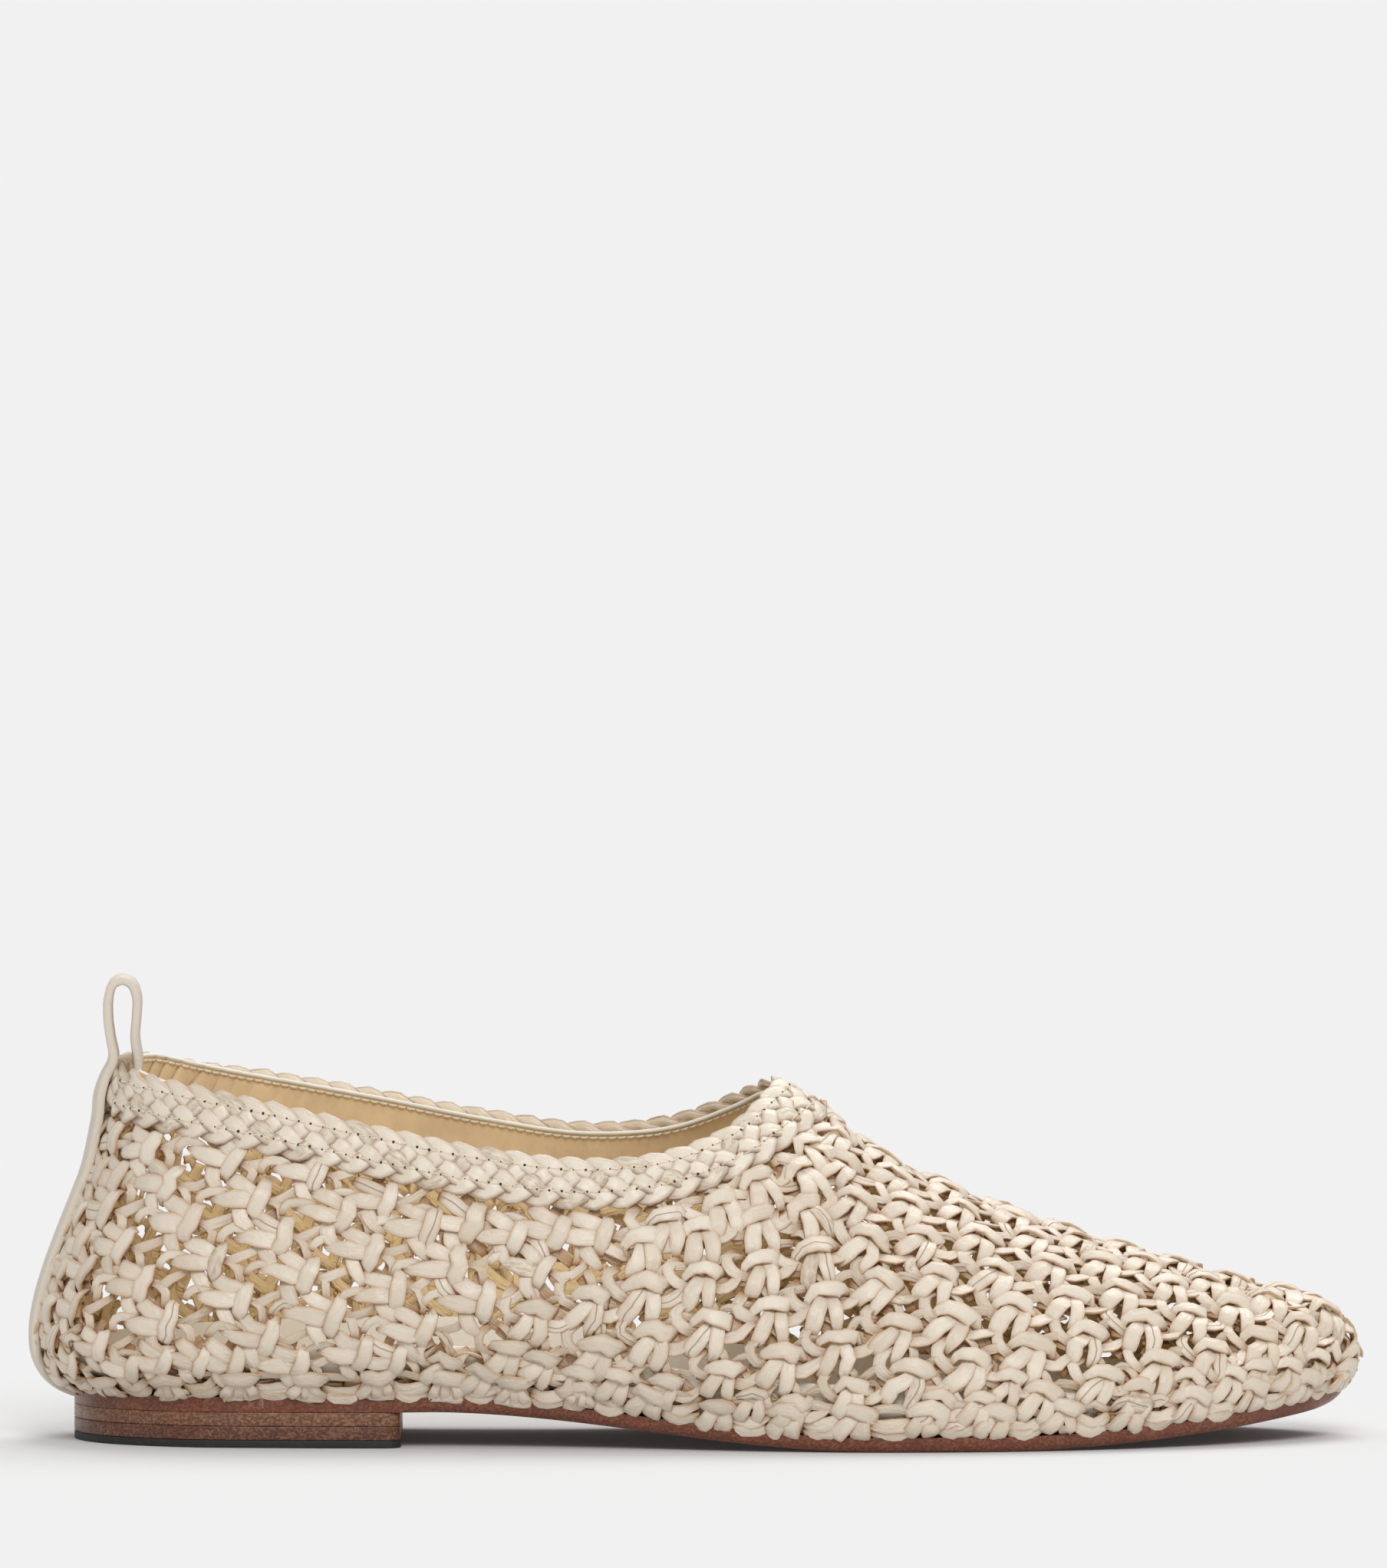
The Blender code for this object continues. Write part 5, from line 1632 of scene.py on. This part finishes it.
class FLAT_OT_lining(bpy.types.Operator):
    """Line the collar with a band of tan leather, with its raw edge and its stitches below the topline"""

    bl_idname = "ballet_flat.lining"
    bl_label = "Collar Lining"

    def execute(self, context):
        settings = context.scene.flat_lining
        thickness = settings.thickness / MM

        def place(shares, rows):
            columns = []
            for row in rows:
                fall = np.full(len(shares), (1 - row) * settings.height / MM)
                back = np.full(len(shares), LINING_BACK)
                columns.append(lining_points(shares * COLLAR_ROUND, fall, back)[0])
            return np.stack(columns, axis=1)

        # How strongly painted shade darkens the lining along its creases
        def creases(shares, rows):
            fall = (1 - rows[None]) * settings.height / MM + np.zeros((len(shares), 1))
            _, fade, panels = lining_panels(shares[:, None] * COLLAR_ROUND, fall)
            return fade * (1 - panels) * np.clip(fall / CREASE_START, 0, 1)

        mesh = grid_mesh("collar_lining", LINING_COLUMNS, LINING_ROWS, place, creases)
        piece = link_piece("collar_lining", mesh, self.leather(settings), "collar_plait", "insole_leather")
        thicken(piece, thickness, -1, LINING_ROUNDING, 2)
        self.raw_edge(settings, thickness)
        self.stitches(thickness)
        return {"FINISHED"}

    def raw_edge(self, settings, thickness):
        """The lining's cut edge, which stands up inside the topline."""
        distance = np.linspace(RAW_EDGE_END, COLLAR_ROUND - RAW_EDGE_END, LINING_COLUMNS)
        fall = np.full(LINING_COLUMNS, RAW_EDGE_FALL)
        back = np.full(LINING_COLUMNS, LINING_BACK + thickness)
        points, normals = lining_points(distance, fall, back)
        mesh = round_strands("lining_edge", points[None], normals[None], RAW_EDGE_WIDTH, RAW_EDGE_THICKNESS)
        material = hide_material(
            "lining_cut_edge", settings.edge_colour, shade=0.9, cells=2200.0, depth=0.1, roughness=0.7)
        link_piece("lining_edge", mesh, material, "collar_plait", "insole_leather")

    def leather(self, settings):
        """Tan lining leather, with painted shade in its upright creases."""
        build_groups()
        material, n, shader = principled("lining_leather")
        coordinates = n.object_coordinates()
        grain = n.group("leather_grain", {"Vector": coordinates, "Cells": 1500.0})
        drawn = n.noise(n.scaled(coordinates, (260.0, 260.0, 45.0)), 1.0, 3.0, 0.6)
        tone = n.math("MULTIPLY_ADD", grain.outputs["Mottle"], 0.6, n.math("MULTIPLY", drawn, 0.4))
        base = n.mix(n.ramp(tone, 0.3, 0.7), dimmed(settings.colour, 0.82), settings.colour)
        # Painted shade in the upright creases
        crease = n.ramp(n.attribute("crease"), 0.2, 0.65, 0.0, 0.9)
        n.put(shader.inputs["Base Color"], n.mix(crease, base, dimmed(settings.colour, 0.42)))
        height = n.math("ADD", n.math("MULTIPLY", grain.outputs["Height"], 0.25), drawn)
        n.put(shader.inputs["Normal"], n.bump(height, 0.4, 0.5))
        shader.inputs["Roughness"].default_value = 0.55
        return material

    def stitches(self, thickness):
        """The row of stitches that holds the lining, seen from inside."""
        starts = np.arange(LINING_STITCH_MARGIN, COLLAR_ROUND - LINING_STITCH_MARGIN, LINING_STITCH)
        steps = np.linspace(*LINING_STITCH_SPAN, THREAD_RINGS)
        at = starts[:, None] + LINING_STITCH * steps
        fall = LINING_STITCH_DROP + LINING_STITCH_SLANT * (steps - 0.5) + np.zeros_like(at)
        back = LINING_BACK + thickness + LINING_THREAD_PROFILE + np.zeros_like(at)
        points, normals = lining_points(at.ravel(), fall.ravel(), back.ravel())
        points, normals = points.reshape(*at.shape, 3), normals.reshape(*at.shape, 3)
        mesh = round_strands("lining_threads", points, -normals, LINING_THREAD, LINING_THREAD)
        thread = bpy.data.materials["sewing_thread"]
        link_piece("lining_threads", mesh, thread, "collar_plait", "woven_leather")


# The strip up the heel: how its edges' way round the heel fades with height, and how much further back than
# the wall it stands, by height
STRIP_COLUMNS, STRIP_ROWS = 10, 110
STRIP_SAG = ((63.0, 1.0), (70.0, 0.4))
STRIP_BACK = ((50.0, 0.0), (55.0, 0.6), (58.0, 1.0), (61.0, 1.3), (63.5, 1.0), (66.5, 0.5), (69.5, 0.0))


def strip_path():
    """Middle line of the heel strip in side view, and how far its edges come forward round the heel."""
    half = STRIP_WIDTH / 2
    heights = np.linspace(0, 1, CURVE_STEPS)
    wall_shares = np.array([0.0, half / SOLE_LENGTH[LATERAL]])
    collar_shares = np.array([0.0, half / COLLAR_LENGTH[LATERAL]])
    top, down, _ = collar_edges(LATERAL, collar_shares)
    crown = np.array([-COLLAR_CROWN, 0.0, 0.0]) * (4 * heights * (1 - heights))[:, None]
    plait = top[:, None] + down[:, None] * (1 - heights)[None, :, None] + crown
    back = np.concatenate([wall_columns(LATERAL, wall_shares, heights)[:, :-1], plait], axis=1)
    middle = back[0][:, [0, 2]]
    aside = back[1] - back[0]
    sag = aside[:, 0] * (half / aside[:, 1]) ** 2
    tangent = np.gradient(middle, axis=0)
    away = unit(np.column_stack([-tangent[:, 1], tangent[:, 0]]))
    sag *= np.interp(middle[:, 1], *zip(*STRIP_SAG))
    outer_face = np.column_stack([middle + away * (GAP + STRIP_THICKNESS / 2), sag])
    outer_face[:, 0] -= np.interp(outer_face[:, 1], *zip(*STRIP_BACK))
    climb = along(outer_face, np.linspace(0, 1, STRIP_KNOTS))
    loop = np.array([(p.x, p.height, 0.0) for p in LOOP])
    entry_x = top[0, 0] + COLLAR_THICKNESS + LINING_ROOM + STRIP_THICKNESS / 2
    entry = np.array([entry_x, top[0, 2], sag[-1]])
    tail = entry + LOOP_TAIL_DEPTH * unit(np.array([down[0, 0], down[0, 2], 0.0]))
    return smooth_steps(np.vstack([climb, loop, entry, tail]), closed=False)


class FLAT_OT_strip(bpy.types.Operator):
    """Run the strip up the back of the heel and fold it over into the pull loop"""

    bl_idname = "ballet_flat.strip"
    bl_label = "Heel Strip and Loop"

    def execute(self, context):
        settings = context.scene.flat_strip
        path = strip_path()

        def place(across, heights):
            row = along(path, heights)
            y = (0.5 - across) * STRIP_WIDTH
            bow = (2 * across - 1) ** 2
            x = row[:, 0] + row[:, 2] * bow[:, None]
            return np.stack(np.broadcast_arrays(x, y[:, None], row[:, 1]), axis=2)

        mesh = grid_mesh("heel_strip", STRIP_COLUMNS, STRIP_ROWS, place)
        material = hide_material(
            "strip_hide", settings.colour, shade=0.88, cells=1900.0, depth=0.2, roughness=0.46)
        piece = link_piece("heel_strip", mesh, material, "heel_strip_loop", "strip_leather")
        thicken(piece, STRIP_THICKNESS, 0, settings.rounding / MM)
        return {"FINISHED"}


# The sole: how finely its plates are laid, how much wider than the CAD plan it is cut, where its lower edge
# stays square for the heel, and where it thins towards the toe and to what share
PLATE_COLUMNS, PLATE_ROWS = 120, 10
PLATE_ROUNDING = 0.5
OUTLINE_POINTS = 130
RIM_POINTS = 3000
SOLE_OUT = 0.4
SOLE_SLICES = 70
SOLE_SEGMENTS = 5
SOLE_SPECKLE = 0.4
SQUARE_HEEL = (69.0, 76.0)
TOE_TAPER = (240.0, 246.9)
TOE_EDGE = 0.15


def sole_plate(name, inset, lift):
    """A sheet under the foot, as wide as the sole less the inset, that follows the sole's side view."""
    def place(shares, across):
        lateral, _ = sole_edge(LATERAL, shares, inset)
        medial, _ = sole_edge(MEDIAL, shares, inset)
        step = across[None, :, None]
        plan = lateral[:, None] * (1 - step) + medial[:, None] * step
        return np.concatenate([plan, sole_bottom(plan[..., :1]) + lift], axis=2)

    return grid_mesh(name, PLATE_COLUMNS, PLATE_ROWS, place)


def outsole_mesh(rounding):
    """The sole: cut to its plan, rounded along its lower edge, bent to its side view, thinned at the toe."""
    shares = np.linspace(0, 1, OUTLINE_POINTS)
    lateral, _ = sole_edge(LATERAL, shares, -SOLE_OUT)
    medial, _ = sole_edge(MEDIAL, shares, -SOLE_OUT)
    outline = np.concatenate([lateral, medial[-2:0:-1]])
    bm = raised_plate([(*point, 0.0) for point in outline], SOLE_THICKNESS)
    lower = [edge for edge in bm.edges if max(v.co.z for v in edge.verts) < SOLE_THICKNESS / 2]
    round_edges(bm, lower, rounding, SOLE_SEGMENTS)
    for x in np.linspace(outline[:, 0].min(), outline[:, 0].max(), SOLE_SLICES)[1:-1]:
        everything = [*bm.verts, *bm.edges, *bm.faces]
        bmesh.ops.bisect_plane(bm, geom=everything, dist=0.001, plane_co=(x, 0, 0), plane_no=(1, 0, 0))
    for edge in bm.edges:
        edge.smooth = edge.calc_face_angle(0.0) < SMOOTH_ANGLE
    rim = along(np.vstack([outline, outline[:1]]), np.linspace(0, 1, RIM_POINTS))
    for vert in bm.verts:
        plan = np.array(vert.co.xy)
        nearest = rim[np.linalg.norm(rim - plan, axis=1).argmin()]
        plan += (nearest - plan) * np.interp(plan[0], SQUARE_HEEL, (1.0, 0.0))
        vert.co.xy = plan
        x = vert.co.x
        ahead = min(max((x - TOE_TAPER[0]) / (TOE_TAPER[1] - TOE_TAPER[0]), 0.0), 1.0)
        thin = TOE_EDGE + (1 - TOE_EDGE) * math.sqrt(1 - ahead**2)
        height = sole_bottom(x) + SOLE_THICKNESS - (SOLE_THICKNESS - vert.co.z) * thin
        vert.co = to_frame((x, vert.co.y, height))
    mesh = finished_mesh("outsole_plate", bm)
    for polygon in mesh.polygons:
        polygon.use_smooth = True
    return mesh


# The insole's upright border: how far inside the weave's face it stands, how its foot turns in over the
# insole, and its height by the share of the way to the toe, on the outer side and on the inner side
RIM_COLUMNS, RIM_ROWS = 200, 12
RIM_INSET = 2.15
RIM_START = 0.03
RIM_THICKNESS = 0.6
RIM_ROUNDING = 0.2
RIM_FOOT = 0.5
RIM_FOOT_POWER = 1.5
RIM_FOOT_INSET = 4.2
RIM_FOOT_SINK = 0.2
RIM_FOOT_HEIGHT = SOLE_THICKNESS + GAP + INSOLE_THICKNESS - RIM_FOOT_SINK
RIM_HEIGHTS = (
    ((0.0, 10.0), (0.3, 10.0), (0.6, 10.0), (0.75, 9.0), (0.88, 6.0), (1.0, 4.0)),
    ((0.0, 11.0), (0.3, 11.5), (0.6, 11.0), (0.8, 9.0), (0.92, 5.5), (1.0, 4.0)),
)


def insole_rim():
    """The insole's upright border, which stands inside the weave all the way round."""
    def place(shares, rows):
        share = np.where(shares <= 0.5, shares, 1 - shares) * 2
        side = (shares > 0.5).astype(int)
        outer, inner = (np.interp(share, *zip(*heights)) for heights in RIM_HEIGHTS)
        tall = np.where(side == 0, outer, inner) / WALL_SURFACE.column_length(side, share)
        heights = (RIM_START + (1 - RIM_START) * rows[None]) * tall[:, None]
        sides, columns = (np.repeat(values[:, None], len(rows), 1) for values in (side, share))
        points, normals = WALL_SURFACE.place(sides, columns, heights)
        points = points - normals * RIM_INSET
        plan = np.where((side == 0)[:, None], *(sole_edge(this, share, RIM_FOOT_INSET)[0] for this in SIDES))
        foot = np.column_stack([plan, sole_bottom(plan[:, 0]) + RIM_FOOT_HEIGHT])
        run_in = np.clip(1 - rows / RIM_FOOT, 0, 1)[None, :, None] ** RIM_FOOT_POWER
        return points * (1 - run_in) + foot[:, None] * run_in

    return grid_mesh("insole_rim", RIM_COLUMNS, RIM_ROWS, place)


class FLAT_OT_sole(bpy.types.Operator):
    """Lay the insole and cut the leather sole with its rounded edge"""

    bl_idname = "ballet_flat.sole"
    bl_label = "Insole and Sole"

    def execute(self, context):
        settings = context.scene.flat_sole
        material = hide_material("insole_hide", settings.insole_colour, shade=0.86, cells=1300.0)
        mesh = sole_plate("insole_plate", WALL + 2 * GAP, SOLE_THICKNESS + GAP)
        piece = link_piece("insole_plate", mesh, material, "insole", "insole_leather")
        thicken(piece, INSOLE_THICKNESS, 1, PLATE_ROUNDING)
        # The border is painted with light: paler than the insole, for the light that falls on it inside the
        # shoe
        material = hide_material("insole_border", settings.border_painted_light_colour, shade=0.93, cells=1300.0)
        piece = link_piece("insole_rim", insole_rim(), material, "insole", "insole_leather")
        thicken(piece, RIM_THICKNESS, 0, RIM_ROUNDING, 2)
        material = burnished_material("sole_edge", settings.sole_colour, settings.grain_colour, SOLE_SPECKLE)
        link_piece("outsole_plate", outsole_mesh(settings.rounding / MM), material, "outsole", "sole_leather")
        return {"FINISHED"}


# The heel: how finely its outline is cut, the line between its glued layers, and how speckled they are
HEEL_SEARCH = 900
HEEL_POINTS = 36
CORNER_POINTS = 7
GLUE_LINE = 0.04
LAYER_ROUNDING = 0.2
LAYER_SEGMENTS = 3
LAYER_EDGE = math.radians(60)
LOWER_SPECKLE = 0.55
UPPER_SPECKLE = 0.85
RUBBER_WEAR = 2.2


def heel_outline():
    """Plan of the heel: the sole's edge at the back, cut straight across at the breast with eased corners."""
    sides = {}
    for side in SIDES:
        edge, _ = sole_edge(side, np.linspace(0, 1, HEEL_SEARCH), -SOLE_OUT)
        behind = edge[edge[:, 0] <= HEEL_BREAST_X - HEEL_CORNER]
        sides[side] = along(behind, np.linspace(0, 1, HEEL_POINTS))
    turn = np.linspace(0, math.pi / 2, CORNER_POINTS)[1:]
    corner = HEEL_CORNER * np.column_stack([np.sin(turn), 1 - np.cos(turn)])
    lateral = sides[LATERAL][-1] + corner
    medial = sides[MEDIAL][-1] + corner * np.array([1.0, -1.0])
    return np.concatenate([sides[LATERAL], lateral, medial[::-1], sides[MEDIAL][:0:-1]])


class FLAT_OT_heel(bpy.types.Operator):
    """Stack the heel: two burnished leather lifts on a rubber top piece"""

    bl_idname = "ballet_flat.heel"
    bl_label = "Heel Stack"

    def execute(self, context):
        settings = context.scene.flat_sole
        grain = settings.grain_colour
        lower = burnished_material("lower_lift_edge", settings.lower_colour, grain, LOWER_SPECKLE)
        upper = burnished_material("upper_lift_edge", settings.lift_colour, grain, UPPER_SPECKLE)
        rubber = self.rubber(settings)
        first = TOP_PIECE_THICKNESS + GAP
        second = first + LIFT_THICKNESS + GAP
        layers = (
            ("heel_rubber_layer", "heel_top_piece", 0.0, TOP_PIECE_THICKNESS, rubber, "heel_rubber"),
            ("heel_lower_layer", "heel_lift_lower", first, LIFT_THICKNESS, lower, "lift_leather"),
            ("heel_upper_layer", "heel_lift_upper", second, LIFT_THICKNESS, upper, "lift_leather"),
        )
        plan = heel_outline()
        for name, node, bottom, thickness, material, slot in layers:
            outline = to_frame(np.column_stack([plan, np.full(len(plan), bottom)]))
            bm = raised_plate(outline, (thickness + GAP - GLUE_LINE) * MM)
            rims = [edge for edge in bm.edges if edge.calc_face_angle(0.0) > LAYER_EDGE]
            round_edges(bm, rims, LAYER_ROUNDING * MM, LAYER_SEGMENTS)
            mesh = finished_mesh(name, bm)
            mesh.shade_smooth()
            link_piece(name, mesh, material, node, slot)
        return {"FINISHED"}

    def rubber(self, settings):
        """Black rubber sheet, a little dusty."""
        material, n, shader = principled("heel_rubber_sheet")
        dust_and_hole_shade = n.noise(n.object_coordinates(), 700.0, 4.0, 0.6)
        colour = settings.rubber_colour
        n.put(shader.inputs["Base Color"], n.mix(n.ramp(dust_and_hole_shade, 0.4, 0.8), colour, dimmed(colour, RUBBER_WEAR)))
        n.put(shader.inputs["Normal"], n.bump(dust_and_hole_shade, 0.1))
        n.put(shader.inputs["Roughness"], n.ramp(dust_and_hole_shade, 0.3, 0.7, 0.55, 0.75))
        return material


# The stage: each light's angle across in degrees and the way it shines, and where the camera looks
FLOOR_RADIUS = 60.0
Lamp = namedtuple("Lamp", "name angle direction")
LAMPS = (
    Lamp(name="key", angle=35, direction=(-0.2, -0.6, -1.0)),
    Lamp(name="back", angle=130, direction=(0.0, -0.7, -1.0)),
    Lamp(name="fill", angle=30, direction=(-0.15, 1.0, -0.85)),
)
SENSOR_WIDTH = 36.0
CAMERA_AIM = Vector((-0.0004, 0.0, 0.1227))
CAMERA_CLIP = (0.1, 200.0)
WHITE = (1.0, 1.0, 1.0, 1.0)


class FLAT_OT_stage(bpy.types.Operator):
    """Set the pale floor, the soft light and the camera"""

    bl_idname = "ballet_flat.stage"
    bl_label = "Floor, Light and Camera"

    def execute(self, context):
        settings = context.scene.flat_stage
        scene = context.scene
        scene.view_settings.view_transform = "Standard"
        bm = bmesh.new()
        bmesh.ops.create_circle(bm, cap_ends=True, segments=64, radius=FLOOR_RADIUS)
        mesh = finished_mesh("studio_floor", bm)
        floor = bpy.data.objects.new("studio_floor", mesh)
        scene.collection.objects.link(floor)
        material, _, shader = principled("floor_paper")
        shader.inputs["Base Color"].default_value = (*settings.floor_colour, 1.0)
        shader.inputs["Roughness"].default_value = 0.9
        shader.inputs["Specular IOR Level"].default_value = 0.0
        # Painted light: a faint glow of the floor's own, which lightens the shadows on it
        shader.inputs["Emission Color"].default_value = WHITE
        shader.inputs["Emission Strength"].default_value = settings.floor_glow
        mesh.materials.append(material)
        world = bpy.data.worlds.new("studio_sky")
        world.use_nodes = True
        scene.world = world
        sky = world.node_tree.nodes["Background"]
        sky.inputs["Color"].default_value = WHITE
        sky.inputs["Strength"].default_value = settings.sky
        for name, angle, direction in LAMPS:
            light = bpy.data.lights.new(name, "SUN")
            light.energy = getattr(settings, name)
            light.angle = math.radians(angle)
            lamp = bpy.data.objects.new(name, light)
            scene.collection.objects.link(lamp)
            lamp.rotation_euler = Vector(direction).to_track_quat("-Z", "Y").to_euler()
        camera = bpy.data.cameras.new("camera")
        camera.sensor_width = SENSOR_WIDTH
        camera.lens = SENSOR_WIDTH * settings.distance / settings.frame_height
        camera.clip_start, camera.clip_end = CAMERA_CLIP
        eye = bpy.data.objects.new("camera", camera)
        scene.collection.objects.link(eye)
        back = Vector((0.0, -math.cos(settings.elevation), math.sin(settings.elevation)))
        eye.location = CAMERA_AIM + back * settings.distance
        eye.rotation_euler = (-back).to_track_quat("-Z", "Y").to_euler()
        scene.camera = eye
        return {"FINISHED"}


class FLAT_PT_panel(bpy.types.Panel):
    """Sidebar panel with the shoe's pieces and their settings"""

    bl_idname = "FLAT_PT_panel"
    bl_label = "Ballet Flat"
    bl_space_type = "VIEW_3D"
    bl_region_type = "UI"
    bl_category = "Ballet Flat"

    def draw(self, context):
        for operator, holder in PANEL_ROWS:
            box = self.layout.box()
            box.operator(operator.bl_idname)
            if holder:
                group = getattr(context.scene, holder)
                for name in group.__annotations__:
                    box.prop(group, name)


PANEL_ROWS = (
    (FLAT_OT_sole, "flat_sole"),
    (FLAT_OT_heel, None),
    (FLAT_OT_weave, "flat_weave"),
    (FLAT_OT_plait, "flat_plait"),
    (FLAT_OT_stitching, None),
    (FLAT_OT_lining, "flat_lining"),
    (FLAT_OT_strip, "flat_strip"),
    (FLAT_OT_stage, "flat_stage"),
)
SETTINGS = {
    "flat_weave": WeaveSettings,
    "flat_plait": PlaitSettings,
    "flat_lining": LiningSettings,
    "flat_strip": StripSettings,
    "flat_sole": SoleSettings,
    "flat_stage": StageSettings,
}
CLASSES = (*SETTINGS.values(), *(operator for operator, _ in PANEL_ROWS), FLAT_PT_panel)


def register():
    for cls in CLASSES:
        bpy.utils.register_class(cls)
    for name, settings in SETTINGS.items():
        setattr(bpy.types.Scene, name, PointerProperty(type=settings))


def unregister():
    for name in SETTINGS:
        delattr(bpy.types.Scene, name)
    for cls in reversed(CLASSES):
        bpy.utils.unregister_class(cls)


def main():
    register()
    bpy.ops.ballet_flat.sole()
    bpy.ops.ballet_flat.heel()
    bpy.ops.ballet_flat.weave()
    bpy.ops.ballet_flat.plait()
    bpy.ops.ballet_flat.stitching()
    bpy.ops.ballet_flat.lining()
    bpy.ops.ballet_flat.strip()
    bpy.ops.ballet_flat.stage()


if __name__ == "__main__":
    main()
